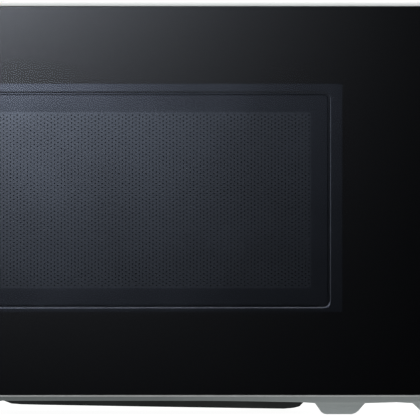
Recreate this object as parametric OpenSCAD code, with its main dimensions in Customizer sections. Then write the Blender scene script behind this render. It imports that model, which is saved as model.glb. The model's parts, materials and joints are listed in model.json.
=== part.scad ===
// Countertop microwave oven with a side-hinged glass door, push-button release,
// rotary dial and glass turntable. Millimetres, +Z up, the front faces -Y, and the
// origin is on the floor under the middle of the whole appliance.

/* [Cabinet] */
// Width of the cabinet
body_w = 440; // [370:1:530]
// Height from the floor to the top of the cabinet
body_h = 262; // [225:1:320]
// Depth of the cabinet behind the door
body_d = 312; // [270:1:380]
// Height of the base plate above the floor
foot_h = 8.6; // [7:0.1:14]
// Thickness of the sheet steel
sheet = 0.8; // [0.6:0.1:1]
// Outer radius of the cover's top bends
bend_r = 6; // [3:0.5:12]
// Gap between the cavity and the left wall of the cover
side_gap = 32; // [20:1:40]
// Height of the space between base plate and cavity
under_gap = 19.4; // [19:0.1:30]
// Height of the space between cavity and cover
over_gap = 26; // [20:1:40]
// Depth of the space behind the cavity
rear_gap = 11.2; // [8:0.1:20]

/* [Door] */
// Thickness of the door
door_t = 28; // [27:0.5:36]
// Air gap between the closed door and the front frame
door_gap = 1.2; // [1:0.1:2]
// Width of the control panel
panel_w = 80; // [76:1:96]
// Upright gap between door and control panel
seam = 1.5; // [1:0.1:3]
// Step from the cabinet side to the door edge
reveal = 1; // [0.5:0.1:2]
// Step from the base plate up to the door edge
sill = 3.9; // [3.6:0.1:8]
// Step from the door edge up to the cabinet top
head = 2.6; // [2.2:0.1:5]
// Thickness of the front glass
glass_t = 3.2; // [2.8:0.1:4]
// How far the closed door laps over the steel beside the cavity mouth
door_lap = 19.5; // [16:0.5:40]
// Width of the steel lip between cavity mouth and window, sideways
window_side = 41.5; // [30:0.5:60]
// Height of the steel lip above the window
window_top = 31; // [20:0.5:50]
// Height of the steel lip below the window
window_foot = 39.8; // [25:0.1:60]
// Radius of the hinge pins
pin_r = 2.5; // [2:0.1:2.8]
// How far the door swings open
door_open = 105; // [60:1:105]

/* [Controls] */
// Radius of the dial
dial_r = 19; // [14:0.5:24]
// How far the dial stands out of the glass
dial_out = 11; // [8:0.5:18]
// Height of the door release button
release_h = 38; // [28:1:44]
// Travel of the door release button
release_travel = 5; // [3:0.5:6]
// Width of a key
key_w = 29; // [20:1:32]
// Height of a key
key_h = 10; // [8:0.5:12]
// Travel of a key
key_travel = 1; // [0.5:0.1:1.5]

/* [Turntable] */
// Clearance between tray rim and cavity wall
tray_margin = 27.5; // [15:0.5:40]
// Thickness of the glass tray
tray_t = 4; // [3:0.5:6]
// Height of the tray rim
tray_rim = 13; // [9:0.5:18]
// Radius of the rollers
roller_r = 7; // [6:0.5:9]
// Radius from the turntable axis to the middle of the rollers
roller_orbit = 88; // [60:1:92]
// Radial clearance of a roller on its axle and of a hinge pin in its hole
run_clear = 0.05; // [0.03:0.01:0.1]

/* [Hidden] */
$fn = 48;
fit = 0.2;                 // clearance between neighbours that don't move on each other
eps = 1;                   // how far a cutting solid runs past the face it cuts
rear_out = 6;              // cord inlet and screws behind the cabinet
plastic = 2;               // wall of the moulded parts

// Cabinet faces
left_x = -body_w / 2;
right_x = body_w / 2;
base_z = foot_h;
top_z = body_h;
front_y = (door_t + door_gap + dial_out - body_d - rear_out) / 2;
back_y = front_y + body_d;

// Door and panel faces
door_y = front_y - door_gap - door_t;
door_back = front_y - door_gap;
door_z0 = base_z + sill;
door_z1 = top_z - head;
door_x0 = left_x + reveal;
panel_x1 = right_x - reveal;
panel_x0 = panel_x1 - panel_w;
door_x1 = panel_x0 - seam;
panel_cx = (panel_x0 + panel_x1) / 2;

// Cavity inside
cav_x0 = left_x + side_gap;
bay_w = panel_w + reveal + seam + door_lap;
cav_x1 = right_x - bay_w;
cav_y0 = front_y + sheet;
cav_y1 = back_y - rear_gap;
cav_z0 = base_z + under_gap;
cav_z1 = top_z - over_gap;
cav_cx = (cav_x0 + cav_x1) / 2;
cav_cy = (cav_y0 + cav_y1) / 2;

// Hinge
hinge_back = 5;            // pin axis to the back of the door
frame_inset = 1;           // moulded frame inside the edge of the glass
hinge_side = 4;            // pin axis to the side of the moulded frame
hinge_x = door_x0 + frame_inset + hinge_side;
hinge_y = door_back - hinge_back;
hinge_arm_t = 1.2;
hinge_arm_w = 10;
strap_x0 = max(hinge_x - 1, left_x + bend_r);
strap_x1 = strap_x0 + hinge_arm_w;
pin_len = 10;

// Window in the door
win_x0 = cav_x0 + window_side;
win_x1 = cav_x1 - window_side;
win_z0 = cav_z0 + window_foot;
win_z1 = cav_z1 - window_top;
bead_w = 2;                // pressed bead round the window
screen_d = 8;              // front of the screen panel behind the front of the door
ring_side = 15;            // moulded frame's width at the sides
ring_top = 10;             // moulded frame's width at top and bottom
pan_x0 = door_x0 + ring_side;
pan_x1 = door_x1 - ring_side;
pan_z0 = door_z0 + ring_top;
pan_z1 = door_z1 - ring_top;
choke_w = 14;              // width of the choke channel
choke_cover_t = 1.5;
inner_pane_t = 2;

// Door latch
latch_t = 3;
latch_x = door_x1 - 10;    // middle of the latch bar
latch_lift = 3;            // room for the hooks to rise
latch_slot = 5;            // width of the latch's slot in the moulded frame
hook_h = 9;
hook_reach = 22;           // back of the hook's nose behind the front frame
hook_tail = 31;            // hook's length behind the front frame
hook_nose = 3.5;
hook_z = [door_z0 + 52, door_z1 - 52];
latch_z0 = hook_z[0] - 12;
latch_z1 = hook_z[1] + 12;
latch_top = latch_z1 + 8;  // top of the latch, under its spring
latch_y0 = door_y + 12;
latch_y1 = door_y + 20;
spring_free = 16;

// Door release
release_z0 = door_z0;
release_z1 = release_z0 + release_h;
release_gap = 0.8;
release_back = door_y + 17;       // front of the housing behind the button
stem_x = panel_x0 + 14;
stem_r = 4;
lever_arm = 36;                   // lever pivot above the button's stem
lever_x = stem_x - 2.5;           // left side of the lever
lever_t = 5;
lever_y = front_y + 12;           // lever pivot behind the front frame
lever_reach = 18;                 // lever pivot to the middle of its lifting finger
stem_z = hook_z[0] - hook_nose - lever_arm;
stem_tip = lever_y - 3 - 0.25;

// Control panel
display_z1 = door_z1 - 14;
display_z0 = display_z1 - 28;
display_w = 60;
key_gap = 5;
key_top = display_z0 - 10;
key_z = [key_top - key_h / 2, key_top - key_h * 1.5 - key_gap];
key_x = [panel_cx - key_w / 2 - key_gap / 2, panel_cx + key_w / 2 + key_gap / 2];
key_bottom = key_top - 2 * key_h - key_gap;
dial_z = (key_bottom + release_z1) / 2;
dial_gap = 0.6;
shaft_r = 3;
board_y = door_y + 19;
board_t = 1.6;

// Turntable
dish_depth = 1.6;
tray_r = min(cav_x1 - cav_x0, cav_y1 - cav_y0) / 2 - tray_margin;
floor_z = cav_z0 - dish_depth;
roll_gap = 0.2;
roller_z = floor_z + roll_gap + roller_r;
tray_z = roller_z + roller_r + roll_gap;
roller_w = 8;
axle_r = 2;
orbit_r = min(roller_orbit, tray_r - 22);
dish_r = orbit_r + roller_w / 2 + 8;
hub_hole_r = 10;
motor_r = 24.5;
motor_h = 14;
motor_shaft_r = 3.5;
tray_turns = 2;            // turns of the tray for one turn of the ring

// Microwave source, in the parts bay
bay_x0 = cav_x1 + sheet;
bay_x1 = right_x - sheet;
bay_cx = (bay_x0 + bay_x1) / 2;
guide_d = 18;
guide_x1 = bay_x0 + guide_d;
mag_y = back_y - 122;
mag_z = top_z - 90;
guide_h = 60;
guide_y0 = mag_y - 84;
guide_y1 = mag_y + 30;
port_y0 = guide_y0 + 8;
port_y1 = port_y0 + 52;
port_z0 = mag_z - guide_h / 2 + 6;
port_z1 = mag_z + guide_h / 2 - 6;
yoke_w = 84;
yoke_h = 66;
yoke_d = 46;
yoke_t = 2;
anode_r = 19;
filter_d = 24;

// Fan at the back of the bay
fan_side = 96;
fan_t = 26;
fan_bore = 44;
fan_r = 42;
fan_cx = bay_cx;
fan_z = mag_z;
fan_y1 = back_y - sheet - fit;
fan_y0 = fan_y1 - fan_t;
fan_shaft_r = 1.5;

// High-voltage parts on the base plate
deck_z = base_z + sheet;
trafo_y = front_y + 96;
core_w = 78;
core_h = 66;
core_t = 52;
cap_y = back_y - 46;
cap_r = 17;
cap_w = 20;
cap_h = 74;

// Front profile of the base plate's pressed feet, from the foot's left shoulder
foot_steep = 5.2;          // width of the steep flank
foot_slack = 7.7;          // width of the slack flank
foot_shoulder = 7;         // height of the shoulders
foot_depth = 34;
mid_foot_x = cav_cx + 101.8;
mid_foot_w = 32;
right_foot_x = bay_x0 + 10.2;
right_foot_w = bay_w - 25;
left_foot_x = cav_cx - 133.8;
skirt_y = front_y - 1;     // front of the base plate's skirt
pressed_feet = [
    [left_foot_x, mid_foot_w, -1],
    [mid_foot_x, mid_foot_w, 1],
    [right_foot_x, right_foot_w, -1]
];

// ---- Helpers ----

// Extrudes an X-Z outline along Y, a Y-Z outline along X, or an X-Y outline along Z.
module along_y(y0, y1) {
    translate([0, y1, 0]) rotate([90, 0, 0]) linear_extrude(y1 - y0) children();
}
module along_x(x0, x1) {
    translate([x0, 0, 0]) rotate([90, 0, 90]) linear_extrude(x1 - x0) children();
}
module along_z(z0, z1) {
    translate([0, 0, z0]) linear_extrude(z1 - z0) children();
}
module rect(a0, a1, b0, b1) {
    translate([a0, b0]) square([a1 - a0, b1 - b0]);
}
module round_rect(a0, a1, b0, b1, r) {
    rect(a0 + r, a1 - r, b0, b1);
    rect(a0, a1, b0 + r, b1 - r);
    for (a = [a0 + r, a1 - r], b = [b0 + r, b1 - r])
        translate([a, b]) circle(r);
}
module block(x0, x1, y0, y1, z0, z1) {
    translate([x0, y0, z0]) cube([x1 - x0, y1 - y0, z1 - z0]);
}
module rod_x(r, x0, x1, y, z) {
    translate([x0, y, z]) rotate([0, 90, 0]) cylinder(r = r, h = x1 - x0);
}
module rod_y(r, x, y0, y1, z) {
    translate([x, y0, z]) rotate([-90, 0, 0]) cylinder(r = r, h = y1 - y0);
}
module rod_z(r, x, y, z0, z1) {
    translate([x, y, z0]) cylinder(r = r, h = z1 - z0);
}
// Upright slots in a grid that fills a rectangle, for vents
module slot_grid(a0, a1, b0, b1, slot_w, slot_h, pitch_a, pitch_b) {
    na = floor((a1 - a0 - slot_w) / pitch_a);
    nb = floor((b1 - b0 - slot_h) / pitch_b);
    for (i = [0:na], j = [0:nb])
        rect(a0 + i * pitch_a, a0 + i * pitch_a + slot_w, b0 + j * pitch_b, b0 + j * pitch_b + slot_h);
}
// Points of an arc
function arc(cx, cy, r, a0, a1, n) =
    [for (i = [0:n]) let (a = a0 + (a1 - a0) * i / n) [cx + r * cos(a), cy + r * sin(a)]];
// Closed tube swept round a helix about Z, rising turns * pitch
function helix_ring(r, wire, angle, z, sides) =
    [for (s = [0:sides - 1]) let (q = 360 * s / sides)
        [(r + wire * cos(q)) * cos(angle), (r + wire * cos(q)) * sin(angle), z + wire * sin(q)]];
module coil_spring(r, wire, turns, pitch, per_turn = 14, sides = 6) {
    rings = turns * per_turn;
    points = [for (i = [0:rings]) let (q = i / per_turn)
        each helix_ring(r, wire, 360 * q, pitch * q, sides)];
    skin = [for (i = [0:rings - 1], s = [0:sides - 1]) let (t = (s + 1) % sides)
        [i * sides + s, i * sides + t, (i + 1) * sides + t, (i + 1) * sides + s]];
    polyhedron(points = points, faces = concat([for (f = skin) [f[3], f[2], f[1], f[0]]],
        [[for (s = [0:sides - 1]) s]], [[for (s = [0:sides - 1]) rings * sides + sides - 1 - s]]));
}

// ---- Cabinet ----

// Front outline of one pressed foot; the steep flank is at the left when lean is 1
function foot_outline(x, w, lean, drop = 0) =
    let (a = lean > 0 ? foot_steep : foot_slack, b = lean > 0 ? foot_slack : foot_steep, r = 3)
    [[x, foot_shoulder + eps], [x, foot_shoulder], [x + a * 0.78, r * 0.45 + drop],
     [x + a * 1.1, r * 0.1 + drop], [x + a * 1.45, drop], [x + w - b * 1.1, drop],
     [x + w - b * 0.8, r * 0.28 + drop], [x + w - b * 0.55, r * 0.75 + drop],
     [x + w - b * 0.18, foot_shoulder * 0.8], [x + w, foot_shoulder], [x + w, foot_shoulder + eps]];
module pressed_foot(x, w, lean) {
    difference() {
        along_y(skirt_y, skirt_y + foot_depth)
            polygon(concat([[x, base_z + sheet]], foot_outline(x, w, lean), [[x + w, base_z + sheet]]));
        along_y(skirt_y + sheet, skirt_y + foot_depth - sheet)
            polygon(concat([[x + 2 * sheet, base_z + 2 * sheet]],
                foot_outline(x + 2 * sheet, w - 4 * sheet, lean, sheet),
                [[x + w - 2 * sheet, base_z + 2 * sheet]]));
    }
}
// Skirt under the door, whose lower edge falls towards the middle foot
module skirt() {
    along_y(skirt_y, skirt_y + sheet)
        polygon([[left_x + reveal, door_z0 - 0.3], [left_x + reveal, base_z], [left_foot_x, foot_shoulder],
            [left_foot_x + mid_foot_w, foot_shoulder + 0.6], [cav_cx - 95, foot_shoulder + 2.1],
            [cav_cx - 5, foot_shoulder + 2], [cav_cx + 60, foot_shoulder + 1.3],
            [cav_cx + 92, foot_shoulder + 0.7], [mid_foot_x, foot_shoulder],
            [mid_foot_x + mid_foot_w, foot_shoulder], [mid_foot_x + mid_foot_w + 20, foot_shoulder + 0.6],
            [right_foot_x, foot_shoulder], [right_foot_x + right_foot_w, foot_shoulder],
            [right_x - reveal, base_z], [right_x - reveal, door_z0 - 0.3]]);
}
module motor_opening(grow) {
    round_rect(cav_cx - 32 - grow, cav_cx + 32 + grow, cav_cy - 32 - grow, cav_cy + 32 + grow, 4);
}
module base_plate() color("gray") {
    x0 = left_x + sheet + fit;
    x1 = right_x - sheet - fit;
    difference() {
        union() {
            along_z(base_z, deck_z) rect(x0, x1, skirt_y, back_y - sheet - fit);
            for (x = [x0, x1 - sheet]) block(x, x + sheet, front_y + 4, back_y - 6, base_z, base_z + 12);
            skirt();
            for (f = pressed_feet) pressed_foot(f[0], f[1], f[2]);
        }
        for (f = pressed_feet)
            along_y(skirt_y + sheet, skirt_y + foot_depth - sheet)
                polygon(concat([[f[0] + 2 * sheet, base_z + 2 * sheet]],
                    foot_outline(f[0] + 2 * sheet, f[1] - 4 * sheet, f[2], sheet),
                    [[f[0] + f[1] - 2 * sheet, base_z + 2 * sheet]]));
        along_z(base_z - eps, deck_z + eps) motor_opening(0);
        along_z(base_z - eps, deck_z + eps)
            slot_grid(bay_x0 + 12, bay_x1 - 12, cap_y - 96, cap_y - 40, 3, 16, 7, 22);
        along_z(base_z - eps, deck_z + eps)
            slot_grid(cav_x0 + 10, cav_x0 + 60, cav_cy + 50, cav_cy + 110, 3, 16, 7, 22);
        for (x = rear_foot_x) rod_z(rear_stud_r, x, rear_foot_y, base_z - eps, deck_z + eps);
        lower_arm_slot();
    }
}
rear_foot_x = [left_x + 34, right_x - 34];
rear_foot_y = back_y - 30;
rear_stud_r = 3;
module rear_feet() color("dimgray") {
    for (x = rear_foot_x) {
        rod_z(9, x, rear_foot_y, 0, base_z);
        rod_z(rear_stud_r, x, rear_foot_y, base_z, deck_z);
        rod_z(5, x, rear_foot_y, deck_z, deck_z + 2.5);
    }
}

// Front outline of the cover pan; grow raises it by the pan's own thickness
function pan_outline(grow) =
    [[cav_cx - 96.5 + 2 * grow, base_z], [cav_cx - 91.5 + grow, 6.7 + grow], [cav_cx - 85, 6.2 + grow],
     [cav_cx - 73, 5.9 + grow], [cav_cx - 3, 4.7 + grow], [cav_cx + 60, 3.7 + grow],
     [cav_cx + 82 - grow, 3.4 + grow], [cav_cx + 88 - grow, 3.9 + grow],
     [cav_cx + 92 - grow, 4.9 + grow], [cav_cx + 95.6 - grow, base_z]];
module motor_access_cover() color("#1c1e1e") {
    y0 = front_y + 6;
    y1 = cav_cy + 62;
    difference() {
        along_y(y0, y1) polygon(pan_outline(0));
        along_y(y0 + sheet, y1 - sheet) polygon(concat(pan_outline(sheet), [[cav_cx, base_z + eps]]));
    }
}

module cover_outline(shrink) {
    r = bend_r - shrink;
    rect(left_x + shrink, right_x - shrink, base_z - (shrink > 0 ? eps : 0), top_z - shrink - r);
    rect(left_x + shrink + r, right_x - shrink - r, base_z - (shrink > 0 ? eps : 0), top_z - shrink);
    for (x = [left_x + shrink + r, right_x - shrink - r])
        translate([x, top_z - shrink - r]) circle(r);
}
cover_flange = 13;
screw_r = 1.6;
screw_at = [
    [left_x + 7, top_z - 40], [left_x + 7, base_z + 60], [right_x - 7, top_z - 40],
    [right_x - 7, base_z + 60], [cav_cx, top_z - 7], [bay_cx, top_z - 7]
];
module screw_holes(r, y0, y1) {
    for (p = screw_at) rod_y(r, p[0], y0, y1, p[1]);
}
module outer_cover() color("#d9dbdb") {
    difference() {
        union() {
            along_y(front_y, back_y) difference() {
                cover_outline(0);
                cover_outline(sheet);
            }
            along_y(back_y, back_y + sheet) difference() {
                cover_outline(0);
                rect(left_x + cover_flange, right_x - cover_flange, base_z - eps, top_z - cover_flange);
            }
        }
        screw_holes(screw_r, back_y - eps, back_y + sheet + eps);
        // Intake slots beside the fan, and outlet slots at the front of the left side
        along_x(right_x - sheet - eps, right_x + eps)
            slot_grid(back_y - 128, back_y - 36, top_z - 136, top_z - 44, 3, 20, 8, 26);
        along_x(left_x - eps, left_x + sheet + eps)
            slot_grid(front_y + 44, front_y + 136, top_z - 84, top_z - 44, 3, 20, 8, 26);
    }
}
module rear_panel() color("#b9bcbc") {
    difference() {
        along_y(back_y - sheet, back_y)
            rect(left_x + sheet + fit, right_x - sheet - fit, deck_z + fit, top_z - sheet - bend_r / 4);
        screw_holes(screw_r, back_y - sheet - eps, back_y + eps);
        // Round grille of the fan, in rings of holes
        for (k = [0:5]) let (ring = 6 + 7 * k, n = k == 0 ? 5 : 6 * k + 3)
            for (i = [0:n - 1])
                rod_y(2, fan_cx + ring * cos(360 * i / n), back_y - sheet - eps, back_y + eps,
                    fan_z + ring * sin(360 * i / n));
        // Cavity outlet
        along_y(back_y - sheet - eps, back_y + eps)
            slot_grid(cav_x0 + 20, cav_x0 + 110, top_z - 60, top_z - 22, 3, 14, 7, 20);
        along_y(back_y - sheet - eps, back_y + eps)
            slot_grid(bay_x0 + 14, bay_x1 - 40, base_z + 70, base_z + 92, 3, 16, 7, 30);
        rod_y(inlet_neck_r, inlet_x, back_y - sheet - eps, back_y + eps, inlet_z);
        // Corners that clear the cover's bends
        for (x = [left_x, right_x - bend_r])
            block(x, x + bend_r, back_y - sheet - eps, back_y + eps, top_z - bend_r, top_z);
    }
}
module cover_screws() color("silver") {
    for (p = screw_at) {
        rod_y(screw_r - 0.1, p[0], back_y - 6, back_y + sheet, p[1]);
        difference() {
            rod_y(4, p[0], back_y + sheet, back_y + sheet + 2.2, p[1]);
            block(p[0] - 2.6, p[0] + 2.6, back_y + sheet + 1.2, back_y + sheet + 3, p[1] - 0.5, p[1] + 0.5);
            block(p[0] - 0.5, p[0] + 0.5, back_y + sheet + 1.2, back_y + sheet + 3, p[1] - 2.6, p[1] + 2.6);
        }
    }
}
inlet_x = bay_cx + 26;
inlet_z = base_z + 26;
inlet_r = 3.6;
inlet_neck_r = 7;
module cord_inlet() color("#202020") {
    difference() {
        union() {
            rod_y(10, inlet_x, back_y, back_y + rear_out, inlet_z);
            rod_y(inlet_neck_r - fit / 2, inlet_x, back_y - sheet, back_y, inlet_z);
            rod_y(9, inlet_x, back_y - sheet - 5, back_y - sheet, inlet_z);
        }
        rod_y(inlet_r, inlet_x, back_y - sheet - 6, back_y + rear_out + eps, inlet_z);
    }
}

// ---- Front frame and cavity ----

hook_slot_w = 9;
module hook_slots() {
    for (z = hook_z)
        block(latch_x - hook_slot_w / 2, latch_x + hook_slot_w / 2, front_y - eps, front_y + sheet + eps,
            z - hook_nose - 1.5, z + hook_h + latch_lift + 2);
}
upper_arm_z = top_z - sheet - hinge_arm_t - 0.1;
lower_arm_z = door_z0 - 1.8;
module upper_arm_slot() {
    block(strap_x0 - fit, strap_x1 + fit, front_y - 2, front_y + 2,
        upper_arm_z - fit, upper_arm_z + hinge_arm_t + 3);
}
module lower_arm_slot() {
    block(strap_x0 - fit, strap_x1 + fit, front_y - 2, front_y + 2,
        lower_arm_z - fit, door_z0 + 0.5);
}
module front_frame() color("#c9cccc") {
    difference() {
        along_y(front_y, front_y + sheet) difference() {
            rect(left_x + sheet + fit, right_x - sheet - fit, deck_z, top_z - sheet - fit);
            round_rect(cav_x0, cav_x1, cav_z0, cav_z1, 3);
        }
        for (x = [left_x, right_x - bend_r])
            block(x, x + bend_r, front_y - eps, front_y + sheet + eps, top_z - bend_r, top_z);
        hook_slots();
        upper_arm_slot();
        lower_arm_slot();
        rod_y(stem_r + 1, stem_x, front_y - eps, front_y + sheet + eps, stem_z);
        rod_y(9, panel_cx + 18, front_y - eps, front_y + sheet + eps, dial_z);
    }
}
module cavity_wrap() color("#b4b7b6") {
    difference() {
        along_y(cav_y0, cav_y1) difference() {
            rect(cav_x0 - sheet, cav_x1 + sheet, cav_z0, cav_z1 + sheet);
            rect(cav_x0, cav_x1, cav_z0 - eps, cav_z1);
        }
        // Port of the waveguide
        block(cav_x1 - eps, cav_x1 + sheet + eps, port_y0, port_y1, port_z0, port_z1);
        // Air and light holes at the right, air holes at the left
        for (i = [-3:3], j = [-2:2]) {
            rod_x(1.6, cav_x1 - eps, cav_x1 + sheet + eps, lamp_y + 6 * i, cav_z1 - 26 + 6 * j);
            rod_x(1.6, cav_x0 - sheet - eps, cav_x0 + eps, cav_y0 + 60 + 6 * i, cav_z1 - 30 + 6 * j);
        }
    }
}
module cavity_floor() color("#b4b7b6") {
    difference() {
        union() {
            along_z(cav_z0 - sheet, cav_z0) rect(cav_x0 - sheet, cav_x1 + sheet, cav_y0, cav_y1 + sheet);
            rod_z(dish_r + sheet, cav_cx, cav_cy, floor_z - sheet, cav_z0);
        }
        rod_z(dish_r, cav_cx, cav_cy, floor_z, cav_z0 + eps);
        rod_z(hub_hole_r, cav_cx, cav_cy, floor_z - sheet - eps, cav_z0);
    }
}
module cavity_rear_wall() color("#b4b7b6") {
    along_y(cav_y1, cav_y1 + sheet) rect(cav_x0 - sheet, cav_x1 + sheet, cav_z0, cav_z1 + sheet);
}

// ---- Microwave source ----

module waveguide() color("silver") {
    z0 = mag_z - guide_h / 2;
    z1 = mag_z + guide_h / 2;
    difference() {
        union() {
            block(bay_x0, guide_x1, guide_y0, guide_y1, z0, z1);
            block(bay_x0, bay_x0 + sheet, guide_y0 - 8, guide_y1 + 8, z0 - 8, z1 + 8);
        }
        block(bay_x0 + sheet, guide_x1 - sheet, guide_y0 + sheet, guide_y1 - sheet, z0 + sheet, z1 - sheet);
        block(bay_x0 - eps, bay_x0 + 2 * sheet, port_y0, port_y1, port_z0, port_z1);
        rod_x(14, guide_x1 - 2 * sheet, guide_x1 + eps, mag_y, mag_z);
    }
}
module waveguide_cover() color("#c8b48c") {
    t = 0.5;
    along_x(cav_x1 - t, cav_x1) round_rect(port_y0 - 7, port_y1 + 7, port_z0 - 6, port_z1 + 6, 3);
}
yoke_x0 = guide_x1;
yoke_x1 = yoke_x0 + yoke_d;
module magnetron_yoke() color("silver") {
    difference() {
        block(yoke_x0, yoke_x1, mag_y - yoke_w / 2, mag_y + yoke_w / 2,
            mag_z - yoke_h / 2, mag_z + yoke_h / 2);
        block(yoke_x0 + yoke_t, yoke_x1 - yoke_t, mag_y - yoke_w, mag_y + yoke_w,
            mag_z - yoke_h / 2 + yoke_t, mag_z + yoke_h / 2 - yoke_t);
        rod_x(15, yoke_x0 - eps, yoke_x0 + 2 * yoke_t, mag_y, mag_z);
        rod_x(10, yoke_x1 - 2 * yoke_t, yoke_x1 + eps, mag_y, mag_z);
    }
}
module magnetron_fins() color("lightgray") {
    n = 7;
    x0 = yoke_x0 + 11;
    pitch = (yoke_d - 22) / (n - 1);
    for (i = [0:n - 1]) difference() {
        block(x0 + i * pitch - 0.3, x0 + i * pitch + 0.3, mag_y - yoke_w / 2 + 6, mag_y + yoke_w / 2 - 6,
            mag_z - yoke_h / 2 + yoke_t + 1, mag_z + yoke_h / 2 - yoke_t - 1);
        rod_x(anode_r, x0 - 10, yoke_x1, mag_y, mag_z);
    }
}
module magnetron_tube() color("#c77b4a") {
    rod_x(7, bay_x0 + 4, guide_x1 - 3, mag_y, mag_z);
    rod_x(12, guide_x1 - 3, yoke_x0 + 9, mag_y, mag_z);
    rod_x(anode_r, yoke_x0 + 9, yoke_x1 - 9, mag_y, mag_z);
    rod_x(9, yoke_x1 - 9, yoke_x1 + 6, mag_y, mag_z);
}
module filter_box() color("lightgray") {
    difference() {
        block(yoke_x1, yoke_x1 + filter_d, mag_y - 30, mag_y + 30, mag_z - 22, mag_z + 22);
        block(yoke_x1 + sheet, yoke_x1 + filter_d - sheet, mag_y - 30 + sheet, mag_y + 30 - sheet,
            mag_z - 22 + sheet, mag_z + 22 - sheet);
        rod_x(9 + fit, yoke_x1 - eps, yoke_x1 + 2 * sheet, mag_y, mag_z);
    }
    block(yoke_x1 + 6, yoke_x1 + 18, mag_y - 38, mag_y - 30, mag_z - 9, mag_z + 9);
}

// ---- High-voltage supply ----

limb = 13;                 // half the width of the core's middle limb
coil_side = 11;            // width of a winding beside the limb
module transformer_core() color("dimgray") {
    difference() {
        block(bay_cx - core_w / 2, bay_cx + core_w / 2, trafo_y, trafo_y + core_t,
            deck_z + 3, deck_z + 3 + core_h);
        for (x = [bay_cx - limb - coil_side, bay_cx + limb])
            block(x, x + coil_side, trafo_y - eps, trafo_y + core_t + eps,
                deck_z + 16, deck_z + core_h - 10);
    }
    for (y = [trafo_y - 9, trafo_y + core_t])
        difference() {
            block(bay_cx - core_w / 2, bay_cx + core_w / 2, y, y + 9, deck_z, deck_z + 3);
            for (s = [-1, 1]) rod_z(2.5, bay_cx + s * 30, y + 4.5, deck_z - eps, deck_z + 4);
        }
    block(bay_cx - core_w / 2, bay_cx + core_w / 2, trafo_y, trafo_y + core_t, deck_z, deck_z + 3);
}
module winding(z0, z1) {
    reach = 13;
    difference() {
        along_z(z0, z1) round_rect(bay_cx - limb - coil_side + 0.4, bay_cx + limb + coil_side - 0.4,
            trafo_y - reach, trafo_y + core_t + reach, 8);
        block(bay_cx - limb, bay_cx + limb, trafo_y, trafo_y + core_t, z0 - eps, z1 + eps);
    }
}
module transformer_windings() color("#a4562b") {
    winding(deck_z + 17, deck_z + 33);
    winding(deck_z + 36, deck_z + core_h - 11);
}
cap_x = bay_cx - 14;
module can_outline(grow) {
    rect(cap_x - cap_w / 2, cap_x + cap_w / 2, cap_y - cap_r - grow, cap_y + cap_r + grow);
    for (s = [-1, 1]) translate([cap_x + s * cap_w / 2, cap_y]) circle(cap_r + grow);
}
module hv_capacitor() color("#c4c6c6") {
    along_z(deck_z + fit, deck_z + cap_h) can_outline(0);
    for (s = [-1, 1]) rod_z(2.5, cap_x + s * 12, cap_y, deck_z + cap_h, deck_z + cap_h + 9);
}
module capacitor_clamp() color("silver") {
    z0 = deck_z + 30;
    difference() {
        along_z(z0, z0 + 14) can_outline(sheet);
        along_z(z0 - eps, z0 + 15) can_outline(0);
    }
    block(bay_cx - 20, bay_cx - 8, cap_y - cap_r - 2 * sheet, cap_y - cap_r - sheet, deck_z, z0 + 14);
    block(bay_cx - 20, bay_cx - 8, cap_y - cap_r - 14, cap_y - cap_r - 2 * sheet, deck_z, deck_z + sheet);
}
module hv_diode() color("#303030") {
    block(bay_cx + 18, bay_cx + 38, cap_y - 16, cap_y - 8, deck_z + 8, deck_z + 16);
    rod_x(0.8, bay_cx + 14, bay_cx + 18, cap_y - 12, deck_z + 12);
    rod_z(0.8, bay_cx + 28, cap_y - 12, deck_z, deck_z + 8);
}

// ---- Cooling fan ----

module fan_shroud() color("#3a3c3c") {
    half = fan_side / 2;
    difference() {
        along_y(fan_y0, fan_y1) difference() {
            round_rect(fan_cx - half, fan_cx + half, fan_z - half, fan_z + half, 6);
            translate([fan_cx, fan_z]) circle(fan_bore);
        }
        for (sx = [-1, 1], sz = [-1, 1])
            rod_y(2, fan_cx + sx * 40, fan_y0 - eps, fan_y1 + eps, fan_z + sz * 40);
    }
    // Arms that carry the motor
    for (s = [-1, 1])
        block(fan_cx + s * 34 - 14, fan_cx + s * 34 + 14, fan_y0 - 3, fan_y0, fan_z - 5, fan_z + 5);
}
module fan_motor() color("#8a8c8e") {
    difference() {
        block(fan_cx - 24, fan_cx + 24, fan_y0 - 19, fan_y0 - 3, fan_z - 22, fan_z + 22);
        for (x = [fan_cx - 17, fan_cx + 17])
            block(x - 3.5, x + 3.5, fan_y0 - 20, fan_y0 - 2, fan_z - 13, fan_z + 13);
    }
    rod_y(8, fan_cx, fan_y0 - 3, fan_y0 + 1, fan_z);
    rod_y(fan_shaft_r, fan_cx, fan_y0 + 1, fan_y0 + 20, fan_z);
}
module fan_blade() color("#e8e8e0") {
    n = 7;
    difference() {
        union() {
            rod_y(11, fan_cx, fan_y0 + 4, fan_y0 + 22, fan_z);
            for (i = [0:n - 1])
                translate([fan_cx, fan_y0 + 13, fan_z]) rotate([0, 360 * i / n, 0]) translate([9, 0, 0])
                    rotate([35, 0, 0]) translate([0, -1, -11]) cube([fan_r - 12, 2, 22]);
        }
        rod_y(fan_shaft_r + run_clear, fan_cx, fan_y0 + 3, fan_y0 + 20.5, fan_z);
    }
}

// ---- Lamp, cut-outs, filter ----

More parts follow.
